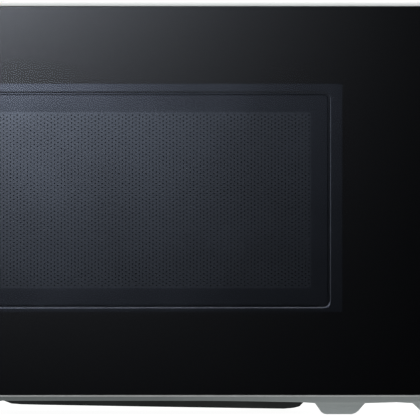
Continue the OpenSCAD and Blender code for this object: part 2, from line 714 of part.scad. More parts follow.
lamp_y = cav_y1 - 52;
lamp_z = cav_z1 - 26;
module oven_lamp() color("#fff4d8") {
    translate([bay_x0 + 4, lamp_y, lamp_z]) rotate([0, 90, 0]) rotate_extrude()
        polygon(concat([[0, 0]], arc(0, 10, 10, -90, 50, 14), [[6, 21], [6, 30], [0, 30]]));
}
module lamp_holder() color("#f0efe6") {
    difference() {
        block(bay_x0 + 26, bay_x0 + 40, lamp_y - 11, lamp_y + 11, lamp_z - 11, lamp_z + 11);
        rod_x(6, bay_x0 + 25, bay_x0 + 34, lamp_y, lamp_z);
    }
    block(bay_x0, bay_x0 + 40, lamp_y + 11, lamp_y + 13, lamp_z - 11, lamp_z + 11);
}
module thermal_cutouts() color("#d8d2c0") {
    for (y = [cav_cy - 60, cav_cy + 60]) {
        z = cav_z1 + sheet;
        rod_z(8, cav_cx + 110, y, z + sheet, z + sheet + 8);
        block(cav_cx + 98, cav_cx + 122, y - 6, y + 6, z, z + sheet);
        for (x = [cav_cx + 105, cav_cx + 115])
            block(x - 0.4, x + 0.4, y - 3, y + 3, z + sheet + 8, z + sheet + 14);
    }
}
module noise_filter_board() color("#2f6b3c") {
    x0 = bay_x0 + 10;
    x1 = bay_x1 - 14;
    y1 = back_y - 12;
    y0 = y1 - 66;
    z = top_z - 32;
    block(x0, x1, y0, y1, z, z + board_t);
    rod_z(11, x0 + 16, y0 + 18, z + board_t, z + 18);
    block(x0 + 34, x0 + 62, y0 + 8, y0 + 20, z + board_t, z + 17);
    rod_x(3, x0 + 34, x0 + 62, y0 + 40, z + board_t + 4);
    for (x = [x0 + 34, x0 + 56]) block(x, x + 6, y0 + 36, y0 + 44, z + board_t, z + board_t + 5);
    for (x = [x0 + 6, x0 + 58]) block(x, x + 6, y1 - 8, back_y - sheet, z - 3, z);
}

// ---- Door release and interlock ----

module catch_ledge(z) {
    // Stands clear under the nose of the hook
    block(latch_x - 4, lever_x - 6, front_y + hook_reach - 12, front_y + hook_reach + 3,
        z - hook_nose - 3.5, z - hook_nose - 0.5);
}
bracket_x0 = latch_x + 6;
bracket_x1 = lever_x - 2;
module interlock_bracket() color("#e9e7de") {
    z0 = latch_z0 - 6;
    z1 = latch_z1 + 8;
    difference() {
        union() {
            block(bracket_x0, bracket_x0 + plastic, front_y + sheet, front_y + 42, z0, z1);
            block(bracket_x0, bracket_x1, front_y + sheet, front_y + sheet + plastic, z0, z1);
            block(bracket_x0, bracket_x1, front_y + 3, front_y + 42, z1 - plastic, z1);
            for (z = hook_z) catch_ledge(z);
            rod_x(2.4, bracket_x0, lever_x + lever_t + 3, lever_y, stem_z + lever_arm);
        }
        rod_y(stem_r + 1, stem_x, front_y - eps, front_y + 10, stem_z);
        // Way through the wall for the lever's finger
        block(bracket_x0 - eps, bracket_x0 + plastic + eps,
            lever_y + lever_reach - 5, lever_y + lever_reach + 5,
            stem_z + lever_arm - 6, hook_z[0] + latch_lift + 2);
    }
}
module door_switches() color("#2a2a2c") {
    w = 8;
    for (z = [hook_z[0] + 16, hook_z[0] + 42, hook_z[1] - 27])
        translate([bracket_x0 + plastic, front_y + 8, z]) {
            difference() {
                cube([w, 28, 16]);
                for (y = [7, 21]) translate([-1, y, 8]) rotate([0, 90, 0]) cylinder(r = 1.5, h = w + 2);
            }
            for (y = [4, 13, 22]) translate([3, y, -5]) cube([0.8, 3, 5]);
            translate([2, 10, 16]) cube([3, 4, 1.2]);
        }
}
module release_lever() color("#dcdad0") {
    pz = stem_z + lever_arm;
    difference() {
        union() {
            rod_x(6, lever_x, lever_x + lever_t, lever_y, pz);
            block(lever_x, lever_x + lever_t, lever_y - 3, lever_y + 3, stem_z - 6, pz);
            block(lever_x, lever_x + lever_t, lever_y, lever_y + lever_reach + 2, pz - 3, pz + 3);
            block(latch_x - 2.5, lever_x + lever_t, lever_y + lever_reach - 2, lever_y + lever_reach + 2,
                pz - 3, hook_z[0] - 0.3);
        }
        rod_x(2.4 + run_clear, lever_x - eps, lever_x + lever_t + eps, lever_y, pz);
    }
}
module release_button() color("#0d0e10") {
    x0 = panel_x0;
    x1 = panel_x1;
    skirt_y1 = release_back - release_travel - 0.5;
    difference() {
        along_y(door_y, skirt_y1) round_rect(x0, x1, release_z0, release_z1, 2.5);
        along_y(door_y + 2.5, skirt_y1 + eps)
            round_rect(x0 + 2, x1 - 2, release_z0 + 2, release_z1 - 2, 1.5);
    }
    rod_y(stem_r, stem_x, door_y + 2.5, stem_tip - 6, stem_z);
    rod_y(2, stem_x, stem_tip - 6, stem_tip, stem_z);
    rod_y(5.2, panel_cx + 14, door_y + 2.5, door_y + 6, spring_z);
}
spring_z = (release_z0 + release_z1) / 2;
module release_spring() color("silver") {
    free = release_back - door_y - 6;
    turns = 5;
    wire = 0.5;
    translate([panel_cx + 14, door_y + 6 + wire + 0.1, spring_z]) rotate([-90, 0, 0])
        coil_spring(4, wire, turns, (free - 2 * wire - 0.2) / turns);
}

// ---- Control panel ----

module key_outline(x, z, grow, r) {
    a = key_w / 2 + grow;
    b = key_h / 2 + grow;
    if (r > 0) round_rect(x - a, x + a, z - b, z + b, r);
    else rect(x - a, x + a, z - b, z + b);
}
module key_outlines(grow, r) {
    for (x = key_x, z = key_z) key_outline(x, z, grow, r);
}

module control_housing() color("#141517") {
    y0 = door_y + glass_t;
    difference() {
        along_y(y0, door_back) round_rect(panel_x0 + 0.5, panel_x1 - 0.5, door_z0 + 0.5, door_z1 - 0.5, 2);
        // Well behind the glass, and well for the release button
        block(panel_x0 + 0.5 + plastic, panel_x1 - 0.5 - plastic, y0 + 3, door_back + eps,
            release_z1 + 4, door_z1 - 0.5 - plastic);
        block(panel_x0 - 1, panel_x1 + 1, y0 - eps, release_back, door_z0 - eps, release_z1 + release_gap);
        block(panel_x0 + 0.5 + plastic, panel_x1 - 0.5 - plastic, release_back + plastic, door_back + eps,
            door_z0 + 0.5 + plastic, release_z1 + 1);
        rod_y(stem_r + fit, stem_x, release_back - eps, release_back + 2 * plastic, stem_z);
        block(panel_cx - display_w / 2, panel_cx + display_w / 2, y0 - eps, y0 + 4, display_z0, display_z1);
        along_y(y0 - eps, y0 + 4) key_outlines(2, 0);
        rod_y(shaft_r + run_clear, panel_cx, y0 - eps, y0 + 4, dial_z);
    }
    // Rim that the release button's skirt slides over
    along_y(door_y + 2.5 + release_travel + 0.8, release_back) difference() {
        round_rect(panel_x0 + 2.8, panel_x1 - 2.8, release_z0 + 2.8, release_z1 - 2.8, 1.2);
        rect(panel_x0 + 4.3, panel_x1 - 4.3, release_z0 + 4.3, release_z1 - 4.3);
    }
}
module control_glass() color("#050608") {
    difference() {
        along_y(door_y, door_y + glass_t) difference() {
            round_rect(panel_x0, panel_x1, release_z1 + release_gap, door_z1, 2.5);
            key_outlines(fit, 2);
        }
        rod_y(shaft_r + 0.6, panel_cx, door_y - eps, door_y + glass_t + eps, dial_z);
    }
}
module display_module() color("#10181c") {
    y0 = door_y + glass_t;
    block(panel_cx - display_w / 2 + fit, panel_cx + display_w / 2 - fit, y0 + fit, y0 + 8,
        display_z0 + fit, display_z1 - fit);
    for (x = [panel_cx - 26, panel_cx + 22])
        block(x, x + 4, y0 + 8, board_y, display_z0 + 8, display_z0 + 12);
}
module control_board() color("#2f6b3c") {
    x0 = panel_x0 + 5;
    x1 = panel_x1 - 5;
    y1 = board_y + board_t;
    block(x0, x1, board_y, y1, release_z1 + 6, door_z1 - 5);
    // Encoder, tact switches, relays and the small supply transformer
    difference() {
        block(panel_cx - 7, panel_cx + 7, board_y - 6, board_y, dial_z - 7, dial_z + 7);
        rod_y(shaft_r + 0.2, panel_cx, board_y - 7, board_y - 1, dial_z);
    }
    for (x = key_x, z = key_z) {
        block(x - 3, x + 3, board_y - 4, board_y, z - 3, z + 3);
        rod_y(1.7, x, door_y + glass_t + 5 + key_travel, board_y - 4, z);
    }
    block(x0 + 4, x0 + 22, y1, door_back - 0.5, key_bottom - 6, key_bottom + 12);
    block(x0 + 26, x0 + 40, y1, door_back - 0.5, key_bottom - 6, key_bottom + 10);
    block(x1 - 24, x1 - 4, y1, door_back - 0.5, display_z0, display_z0 + 22);
    rod_y(4, x0 + 12, y1, y1 + 6, display_z0 + 8);
}
module dial() color("#b8babc") {
    y_in = door_y - dial_gap;
    difference() {
        union() {
            translate([panel_cx, door_y, dial_z]) rotate([90, 0, 0]) rotate_extrude($fn = 96)
                polygon(concat([[0, dial_gap], [dial_r, dial_gap], [dial_r, dial_gap + 1.5]],
                    arc(dial_r - 2.6, dial_out - 1.6, 1.6, 0, 90, 6), [[0, dial_out]]));
            rod_y(shaft_r, panel_cx, y_in, board_y - 1.5, dial_z);
        }
        // Pointer notch at the rim
        block(panel_cx - 0.8, panel_cx + 0.8, door_y - dial_out - eps, door_y - dial_out + 1,
            dial_z + dial_r - 10, dial_z + dial_r - 3);
    }
}
module key(x, z) {
    along_y(door_y - 0.6, door_y + glass_t + 0.2) key_outline(x, z, 0, 1.8);
    along_y(door_y + glass_t + 0.2, door_y + glass_t + 1.6) key_outline(x, z, 1.2, 2);
    rod_y(2, x, door_y + glass_t + 1.6, door_y + glass_t + 4.9, z);
}

// ---- Hinges ----

// Strap from the pin through the front frame, with a leg behind it
module hinge_arm(z, leg_z0, leg_z1) {
    y1 = front_y + sheet;
    block(strap_x0, strap_x1, hinge_y, y1 + 2, z, z + hinge_arm_t);
    rod_z(hinge_arm_w / 2, hinge_x, hinge_y, z, z + hinge_arm_t);
    block(strap_x0, strap_x1, y1, y1 + 2, leg_z0, leg_z1);
}
module upper_hinge() color("silver") {
    z = upper_arm_z;
    hinge_arm(z, z - 24, z + hinge_arm_t);
    rod_z(pin_r, hinge_x, hinge_y, door_z1 - frame_inset - pin_len, z);
}
module lower_hinge() color("silver") {
    z = lower_arm_z;
    hinge_arm(z, z, z + 26);
    rod_z(pin_r, hinge_x, hinge_y, z, door_z0 + frame_inset + pin_len);
}

// ---- Door ----

module door_glass() color("#050608") {
    along_y(door_y, door_y + glass_t) round_rect(door_x0, door_x1, door_z0, door_z1, 2.5);
}
module door_frame() color("#141517") {
    f = frame_inset;
    y0 = door_y + glass_t;
    difference() {
        intersection() {
            along_y(y0, door_back) difference() {
                rect(door_x0 + f, door_x1 - f, door_z0 + f, door_z1 - f);
                rect(pan_x0, pan_x1, pan_z0, pan_z1);
            }
            // Round back corner that turns about the pins
            along_z(door_z0, door_z1) {
                rect(door_x0, door_x1, y0 - eps, hinge_y);
                rect(hinge_x, door_x1, y0 - eps, door_back);
                translate([hinge_x, hinge_y]) circle(hinge_back);
            }
        }
        rod_z(pin_r + run_clear, hinge_x, hinge_y, door_z1 - f - pin_len - 1, door_z1);
        rod_z(pin_r + run_clear, hinge_x, hinge_y, door_z0, door_z0 + f + pin_len + 1);
        // Pocket of the latch and its spring, with windows for the hooks
        block(latch_x - latch_slot / 2, latch_x + latch_slot / 2, latch_y0 - fit, latch_y1 + fit,
            latch_z0 - fit, latch_top + spring_free);
        for (z = hook_z)
            block(latch_x - latch_slot / 2, latch_x + latch_slot / 2, latch_y1, door_back + eps,
                z - hook_nose - 1, z + hook_h + latch_lift + 1);
    }
}
module ring_2d(x0, x1, z0, z1, w) {
    difference() {
        rect(x0, x1, z0, z1);
        rect(x0 + w, x1 - w, z0 + w, z1 - w);
    }
}
module door_screen() color("#2b2e33") {
    d0 = door_y + screen_d;
    back = door_back - choke_cover_t;
    g = fit;
    difference() {
        union() {
            along_y(d0, d0 + sheet) rect(pan_x0 + g, pan_x1 - g, pan_z0 + g, pan_z1 - g);
            along_y(d0, back) ring_2d(pan_x0 + g, pan_x1 - g, pan_z0 + g, pan_z1 - g, sheet);
            along_y(d0, back)
                ring_2d(pan_x0 + choke_w, pan_x1 - choke_w, pan_z0 + choke_w, pan_z1 - choke_w, sheet);
            along_y(back - sheet, back) ring_2d(pan_x0 + g, pan_x1 - g, pan_z0 + g, pan_z1 - g, 6);
            // Back of the bead that is pressed round the window
            along_y(d0, d0 + 2 * sheet)
                ring_2d(win_x0 - sheet, win_x1 + sheet, win_z0 - sheet, win_z1 + sheet, bead_w + 2 * sheet);
        }
        along_y(d0 - eps, d0 + sheet) ring_2d(win_x0, win_x1, win_z0, win_z1, bead_w);
    }
}
module choke_cover() color("#1a1b1d") {
    along_y(door_back - choke_cover_t, door_back) difference() {
        rect(pan_x0 + fit, pan_x1 - fit, pan_z0 + fit, pan_z1 - fit);
        rect(pan_x0 + choke_w + 4, pan_x1 - choke_w - 4, pan_z0 + choke_w + 4, pan_z1 - choke_w - 4);
    }
}
module inner_pane() color("#8fa0a8", 0.4) {
    e = choke_w + sheet + fit;
    y1 = door_back - choke_cover_t;
    along_y(y1 - inner_pane_t, y1) rect(pan_x0 + e, pan_x1 - e, pan_z0 + e, pan_z1 - e);
}
module latch_hooks() color("#e9e7de") {
    nose = front_y + hook_reach;
    tip = front_y + hook_tail;
    along_x(latch_x - latch_t / 2, latch_x + latch_t / 2) {
        rect(latch_y0, latch_y1, latch_z0, latch_top);
        for (z = hook_z) {
            rect(latch_y1 - 1, tip, z, z + hook_h);
            polygon([[nose - 9, z + 1], [nose - 9, z - hook_nose], [nose - 4, z - hook_nose],
                [nose, z + 1]]);
        }
    }
}
module latch_spring() color("silver") {
    turns = 5;
    wire = 0.35;
    translate([latch_x, (latch_y0 + latch_y1) / 2, latch_top + wire + 0.1])
        coil_spring(1.9, wire, turns, (spring_free - 2 * wire - 0.2) / turns);
}

// ---- Turntable ----

module turntable_motor() color("#c9cbcb") {
    z1 = floor_z - sheet;
    difference() {
        union() {
            rod_z(motor_r, cav_cx, cav_cy, z1 - motor_h, z1);
            block(cav_cx - 34, cav_cx + 34, cav_cy - 5, cav_cy + 5, z1 - sheet, z1);
        }
        rod_z(motor_shaft_r + run_clear, cav_cx, cav_cy, z1 - 10, z1 + eps);
        for (s = [-1, 1]) rod_z(1.7, cav_cx + s * 30, cav_cy, z1 - 2, z1 + eps);
    }
    block(cav_cx - 10, cav_cx + 10, cav_cy + motor_r - 3, cav_cy + motor_r + 6,
        z1 - motor_h, z1 - motor_h + 8);
}
module drive_coupler() color("#f2efe6") {
    top = tray_z - 0.1;
    rod_z(motor_shaft_r, cav_cx, cav_cy, floor_z - sheet - 9, floor_z);
    rod_z(hub_hole_r - 1.5, cav_cx, cav_cy, floor_z - sheet / 2, top);
    for (i = [0:2])
        translate([cav_cx, cav_cy, top - 5]) rotate([0, 0, 90 + 120 * i])
            translate([0, -3.5, 0]) cube([18, 7, 5]);
}
module glass_tray() color("#bfe0e0", 0.5) {
    w = tray_t;
    flat = tray_r - 16;
    translate([cav_cx, cav_cy, tray_z]) {
        rotate_extrude($fn = 128)
            polygon([[0, 0], [flat, 0], [flat + 5, 1], [tray_r - 4, tray_rim - w - 2],
                [tray_r - 0.6, tray_rim - w], [tray_r, tray_rim - w + 1],
                [tray_r, tray_rim - 1], [tray_r - 1, tray_rim],
                [tray_r - 5, tray_rim - 1.2], [flat + 3, w + 1], [flat - 2, w], [0, w]]);
        for (i = [0:2]) rotate([0, 0, 117.5 + 120 * i]) translate([13, 0, -3]) cylinder(r = 2.5, h = 3.5);
    }
}
module roller_ring() color("#f2efe6") {
    in = orbit_r - roller_w / 2 - 6;
    translate([cav_cx, cav_cy, roller_z]) {
        rotate_extrude($fn = 96) polygon([[in, -2.5], [in + 4.5, -2.5], [in + 4.5, 2.5], [in, 2.5]]);
        for (i = [0:2]) rotate([0, 90, 90 + 120 * i]) {
            translate([0, 0, in + 4]) cylinder(r = axle_r, h = roller_w + 4);
            translate([0, 0, in + 4]) cylinder(r = axle_r + 1.2, h = 1.6);
            translate([0, 0, orbit_r + roller_w / 2 + 0.3]) cylinder(r = axle_r + 0.8, h = 1.6);
        }
    }
}
module roller(i) color("#e4e1d6") {
    b = axle_r + run_clear;
    h = roller_w / 2;
    translate([cav_cx, cav_cy, roller_z]) rotate([0, 90, 90 + 120 * i]) translate([0, 0, orbit_r])
        rotate_extrude($fn = 64)
            polygon([[b, -h + 0.3], [roller_r - 2, -h + 0.3], [roller_r, -h + 2.3], [roller_r, h - 2.3],
                [roller_r - 2, h - 0.3], [b, h - 0.3]]);
}

base_plate();
motor_access_cover();
outer_cover();
rear_panel();
front_frame();
cavity_wrap();
cavity_floor();
cavity_rear_wall();
waveguide();
waveguide_cover();
magnetron_yoke();
magnetron_fins();
magnetron_tube();
filter_box();
transformer_core();
transformer_windings();
hv_capacitor();
capacitor_clamp();
hv_diode();
fan_shroud();
fan_motor();
fan_blade();
oven_lamp();
lamp_holder();
thermal_cutouts();
noise_filter_board();
turntable_motor();
interlock_bracket();
door_switches();
control_housing();
control_glass();
display_module();
control_board();
cord_inlet();
rear_feet();
cover_screws();
upper_hinge();
lower_hinge();
door_glass();
door_frame();
door_screen();
choke_cover();
inner_pane();
latch_hooks();
latch_spring();
release_button();
release_lever();
release_spring();
dial();
color("#b8babc") key(key_x[0], key_z[0]);  // key_power
color("#b8babc") key(key_x[1], key_z[0]);  // key_clock
color("#b8babc") key(key_x[0], key_z[1]);  // key_stop
color("#b8babc") key(key_x[1], key_z[1]);  // key_start
drive_coupler();
glass_tray();
roller_ring();
roller(0);  // roller_1
roller(1);  // roller_2
roller(2);  // roller_3
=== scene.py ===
import json
import math

import bmesh
import bpy
from mathutils import Matrix, Vector

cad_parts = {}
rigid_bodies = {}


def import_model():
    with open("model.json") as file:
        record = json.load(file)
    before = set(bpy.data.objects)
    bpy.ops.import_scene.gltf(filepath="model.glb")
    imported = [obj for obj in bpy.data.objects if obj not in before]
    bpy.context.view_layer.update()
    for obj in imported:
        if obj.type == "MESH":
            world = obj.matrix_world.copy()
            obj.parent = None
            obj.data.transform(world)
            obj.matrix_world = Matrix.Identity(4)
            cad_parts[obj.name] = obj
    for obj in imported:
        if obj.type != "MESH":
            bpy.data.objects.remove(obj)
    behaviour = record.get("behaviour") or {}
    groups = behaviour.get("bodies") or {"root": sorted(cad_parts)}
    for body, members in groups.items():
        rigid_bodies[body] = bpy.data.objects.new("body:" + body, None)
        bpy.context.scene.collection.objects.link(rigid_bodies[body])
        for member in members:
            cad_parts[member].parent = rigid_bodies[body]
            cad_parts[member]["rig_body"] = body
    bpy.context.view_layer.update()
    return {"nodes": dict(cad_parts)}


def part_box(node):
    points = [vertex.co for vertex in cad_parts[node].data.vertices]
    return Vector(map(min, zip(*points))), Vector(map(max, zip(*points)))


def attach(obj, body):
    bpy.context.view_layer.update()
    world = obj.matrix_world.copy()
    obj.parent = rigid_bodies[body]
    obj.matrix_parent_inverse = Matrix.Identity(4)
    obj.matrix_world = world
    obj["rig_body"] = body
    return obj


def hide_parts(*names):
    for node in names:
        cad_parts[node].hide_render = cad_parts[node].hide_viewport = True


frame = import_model()
nodes = frame["nodes"]
scene = bpy.context.scene
mm = 0.001


# colours and shader nodes

def hexColour(code):
    parts = [int(code[i:i + 2], 16) / 255 for i in (1, 3, 5)]
    return [p / 12.92 if p <= 0.04045 else ((p + 0.055) / 1.055) ** 2.4 for p in parts] + [1.0]


def perSize(millimetres):
    return 1000 / millimetres  # texture scale that repeats about once in that length


def addNode(owner, kind, settings=None, inputs=None):
    # owner is a material or the world
    node = owner.node_tree.nodes.new(kind)
    for name, value in (settings or {}).items():
        setattr(node, name, value)
    for name, value in (inputs or {}).items():
        if isinstance(value, bpy.types.NodeSocket):
            owner.node_tree.links.new(value, node.inputs[name])
        else:
            node.inputs[name].default_value = value
    return node


def startMaterial(name, values):
    material = bpy.data.materials.new(name)
    material.use_nodes = True
    shader = material.node_tree.nodes["Principled BSDF"]
    for socket, value in values.items():
        shader.inputs[socket].default_value = hexColour(value) if isinstance(value, str) else value
    return material, shader


def surfaceGrain(material, shader, size, relief, gloss, stretch=(1, 1, 1), detail=3):
    # one noise gives the fine relief and the uneven gloss; size and relief in mm
    place = addNode(material, "ShaderNodeTexCoord")
    mapped = addNode(material, "ShaderNodeMapping", None, {
        "Vector": place.outputs["Object"], "Scale": stretch})
    grain = addNode(material, "ShaderNodeTexNoise", None,
                    {"Vector": mapped.outputs[0], "Scale": perSize(size), "Detail": detail})
    bump = addNode(material, "ShaderNodeBump", None, {"Height": grain.outputs[0], "Distance": relief * mm})
    spread = addNode(material, "ShaderNodeMapRange", None, {
        "Value": grain.outputs[0], "From Min": 0.3, "From Max": 0.7, "To Min": gloss[0], "To Max": gloss[1]})
    material.node_tree.links.new(bump.outputs[0], shader.inputs["Normal"])
    material.node_tree.links.new(spread.outputs[0], shader.inputs["Roughness"])
    return mapped, grain


def twoShades(material, shader, factor, first, second):
    shade = addNode(material, "ShaderNodeMix", {"data_type": "RGBA"},
                    {0: factor, 6: hexColour(first), 7: hexColour(second)})
    material.node_tree.links.new(shade.outputs[2], shader.inputs["Base Color"])


def wander(material, mapped, size, low=0.35, high=0.65):
    # slow drift between two shades, over that many mm
    cloud = addNode(material, "ShaderNodeTexNoise", None,
                    {"Vector": mapped.outputs[0], "Scale": perSize(size), "Detail": 2})
    return addNode(material, "ShaderNodeMapRange", None,
                   {"Value": cloud.outputs[0], "From Min": low, "From Max": high}).outputs[0]


# Powder-coated steel, baked: an even pale silver with a faint orange peel
coat = {"light": "#d2d5d5", "dark": "#ced1d1", "peel": 1.6, "relief": 0.012, "gloss": (0.34, 0.44)}


def powderCoatedSteel():
    material, shader = startMaterial("powder_coated_steel_baked", {
        "IOR": 1.5, "Coat Weight": 0.15, "Coat Roughness": 0.2})
    mapped, _ = surfaceGrain(material, shader, coat["peel"], coat["relief"], coat["gloss"], detail=1)
    twoShades(material, shader, wander(material, mapped, 70), coat["light"], coat["dark"])
    return material


# Hot-dip galvanised sheet, rolled: grey crystals a few mm wide, each with its own shade
zinc = {"light": "#b9bdbd", "dark": "#a3a8a9", "crystal": 6.0, "relief": 0.008}


def galvanisedSheet():
    material, shader = startMaterial("galvanised_sheet_rolled", {"Metallic": 0.85})
    mapped, _ = surfaceGrain(material, shader, 1.5, zinc["relief"], (0.36, 0.5))
    crystals = addNode(material, "ShaderNodeTexVoronoi", None,
                       {"Vector": mapped.outputs[0], "Scale": perSize(zinc["crystal"])})
    tone = addNode(material, "ShaderNodeSeparateColor", None, {0: crystals.outputs["Color"]})
    twoShades(material, shader, tone.outputs[0], zinc["light"], zinc["dark"])
    return material


# Zinc-phosphated steel, pressed: the flat blue-green grey of an unpainted base
phosphate = {"dark": "#7f8685", "light": "#a9b0af"}


def phosphatedBase():
    material, shader = startMaterial("zinc_phosphated_steel_pressed", {"Metallic": 0.3})
    mapped, _ = surfaceGrain(material, shader, 0.5, 0.008, (0.42, 0.56))
    parts = addNode(material, "ShaderNodeSeparateXYZ", None, {0: mapped.outputs[0]})
    # the shade drifts from dark at -X to light at +X: painted light, standing in for light falling more on
    # the +X end of the skirt
    drift = addNode(material, "ShaderNodeMapRange", {"interpolation_type": "SMOOTHSTEP"}, {
        "Value": parts.outputs[0], "From Min": -0.09, "From Max": 0.1})  # painted light: the +X end paler
    cloud = wander(material, mapped, 45)
    tone = addNode(material, "ShaderNodeMix", {"data_type": "FLOAT"}, {
        0: 0.12, 2: drift.outputs[0], 3: cloud})
    twoShades(material, shader, tone.outputs[0], phosphate["dark"], phosphate["light"])
    return material


# Steel, pressed: nearly matt and nearly black, with a grey bloom where it has been handled; the near-black
# is painted shade for the shadow under the oven
def blackCoverSteel():
    material, shader = startMaterial("near_black_steel_pressed_painted_shade", {"Metallic": 0.2})
    mapped, _ = surfaceGrain(material, shader, 0.7, 0.01, (0.42, 0.6))
    twoShades(material, shader, wander(material, mapped, 30), "#181a1a", "#242726")
    return material


# Epoxy enamel, sprayed and baked on the cavity: warm grey with fine pale and dark specks
enamel = {"ground": "#aeb1b0", "speck": "#7b7f7f", "size": 1.1}


def cavityEnamel():
    material, shader = startMaterial("epoxy_enamel_speckled", {
        "IOR": 1.52, "Coat Weight": 0.3, "Coat Roughness": 0.12})
    mapped, _ = surfaceGrain(material, shader, 1.4, 0.015, (0.25, 0.38))
    specks = addNode(material, "ShaderNodeTexVoronoi", None,
                     {"Vector": mapped.outputs[0], "Scale": perSize(enamel["size"])})
    dots = addNode(material, "ShaderNodeMapRange", None, {
        "Value": specks.outputs["Distance"], "From Min": 0.12, "From Max": 0.3, "To Min": 1, "To Max": 0})
    twoShades(material, shader, dots.outputs[0], enamel["ground"], enamel["speck"])
    return material


# ABS, injection moulded in a spark-eroded tool: deep black with a fine satin tooth
def blackMoulding(name="abs_moulded_black", light="#17181a", dark="#101113", gloss=(0.38, 0.52)):
    material, shader = startMaterial(name, {"IOR": 1.53})
    mapped, _ = surfaceGrain(material, shader, 0.45, 0.02, gloss)
    twoShades(material, shader, wander(material, mapped, 25), light, dark)
    return material


# Acetal, injection moulded in its natural colour: waxy off-white that light enters a little way
def naturalAcetal():
    material, shader = startMaterial("acetal_moulded_natural", {
        "IOR": 1.48, "Subsurface Weight": 0.15, "Subsurface Scale": 0.002,
        "Subsurface Radius": (1.0, 0.9, 0.75)})
    mapped, _ = surfaceGrain(material, shader, 0.9, 0.01, (0.34, 0.46))
    twoShades(material, shader, wander(material, mapped, 9), "#ece9df", "#dfdbcd")
    return material


# Float glass, tinted and heat strengthened: clear enough to show the screen, dark in itself
glassTint = {"tint": "#030404", "body": 0.06, "smear": (0.006, 0.02)}


def tintedFloatGlass():
    material, shader = startMaterial("float_glass_tinted", {
        "Base Color": glassTint["tint"], "IOR": 1.5, "Specular IOR Level": 1.0, "Alpha": glassTint["body"]})
    place = addNode(material, "ShaderNodeTexCoord")
    smear = addNode(material, "ShaderNodeTexNoise", None,
                    {"Vector": place.outputs["Object"], "Scale": perSize(60), "Detail": 4})
    spread = addNode(material, "ShaderNodeMapRange", None, {
        "Value": smear.outputs[0], "To Min": glassTint["smear"][0], "To Max": glassTint["smear"][1]})
    material.node_tree.links.new(spread.outputs[0], shader.inputs["Roughness"])
    return material


# Ceramic ink, screen printed and fired on the back of the glass: an even black
def ceramicPrint(name="ceramic_ink_fired_black"):
    material, shader = startMaterial(name, {"IOR": 1.5})
    place = addNode(material, "ShaderNodeTexCoord")
    pores = addNode(material, "ShaderNodeTexNoise", None,
                    {"Vector": place.outputs["Object"], "Scale": perSize(35), "Detail": 5})
    spread = addNode(material, "ShaderNodeMapRange", None, {
        "Value": pores.outputs[0], "To Min": 0.008, "To Max": 0.03})
    material.node_tree.links.new(spread.outputs[0], shader.inputs["Roughness"])
    twoShades(material, shader, pores.outputs[0], "#010102", "#030303")
    return material


# Screen steel, stamped and painted: a dark grey gloss; the webs get a paler copy of it, painted light
# standing in for the brighter look of the perforated field
screenPaint = {"light": "#51545b", "dark": "#474a50", "webLight": "#64686f", "webDark": "#5c5f65",
               "gloss": (0.03, 0.06)}


def screenSteel(name="dark_lacquered_steel_stamped", light=screenPaint["light"], dark=screenPaint["dark"]):
    material, shader = startMaterial(name, {"Metallic": 1.0})
    mapped, _ = surfaceGrain(material, shader, 2.4, 0.0006, screenPaint["gloss"], detail=1)
    twoShades(material, shader, wander(material, mapped, 55), light, dark)
    return material


# Soda-lime glass, pressed and annealed: clear with a faint green where it is thick
def pressedTrayGlass():
    material, shader = startMaterial("soda_lime_glass_pressed", {
        "Base Color": "#e3f1ee", "IOR": 1.52, "Transmission Weight": 0.92})
    surfaceGrain(material, shader, 14, 0.05, (0.02, 0.07), detail=1)
    return material


# Polyester film, stretched over the choke: smoky and slightly wavy
def windowFilm():
    material, shader = startMaterial("polyester_film_smoked", {
        "Base Color": "#15181a", "IOR": 1.6, "Alpha": 0.35})
    surfaceGrain(material, shader, 30, 0.02, (0.04, 0.1), detail=1)
    return material


# Polycarbonate, moulded and clear: the smoked window of the clock
def displayWindow():
    material, shader = startMaterial("polycarbonate_moulded_smoked", {"IOR": 1.58})
    mapped, _ = surfaceGrain(material, shader, 20, 0.01, (0.05, 0.12), detail=1)
    twoShades(material, shader, wander(material, mapped, 15), "#0c1114", "#10171b")
    return material


# Aluminium, turned and brushed round the edge: fine bright lines in one direction
def brushedAluminium(name="aluminium_turned_brushed", stretch=(1, 0.05, 1)):
    material, shader = startMaterial(name, {"Metallic": 1.0})
    _, grain = surfaceGrain(material, shader, 0.5, 0.006, (0.22, 0.38), stretch)
    twoShades(material, shader, grain.outputs[0], "#b4b7ba", "#cfd1d3")
    return material


# Metal that is drawn, pressed or wound, with its own colour and line direction
def workedMetal(name, light, dark, size, relief, gloss, stretch=(1, 1, 1), metallic=1.0):
    material, shader = startMaterial(name, {"Metallic": metallic})
    _, grain = surfaceGrain(material, shader, size, relief, gloss, stretch)
    twoShades(material, shader, grain.outputs[0], light, dark)
    return material


# Plastics, card and rubber that are moulded or cut, each with its own tooth
def plainMoulding(name, light, dark, size, relief, gloss, ior=1.5):
    material, shader = startMaterial(name, {"IOR": ior})
    mapped, _ = surfaceGrain(material, shader, size, relief, gloss)
    twoShades(material, shader, wander(material, mapped, size * 12), light, dark)
    return material


# Laminations and wire show as ribs of that pitch along one axis
def ribbedMaterial(name, light, dark, pitch, relief, axis, metallic):
    material, shader = startMaterial(name, {"Metallic": metallic, "Roughness": 0.42})
    place = addNode(material, "ShaderNodeTexCoord")
    ribs = addNode(material, "ShaderNodeTexWave", {"bands_direction": axis, "wave_profile": "SIN"},
                   {"Vector": place.outputs["Object"], "Scale": perSize(pitch) / 20, "Distortion": 0.0})
    bump = addNode(material, "ShaderNodeBump", None, {
        "Height": ribs.outputs["Fac"], "Distance": relief * mm})
    material.node_tree.links.new(bump.outputs[0], shader.inputs["Normal"])
    twoShades(material, shader, ribs.outputs["Fac"], dark, light)
    return material


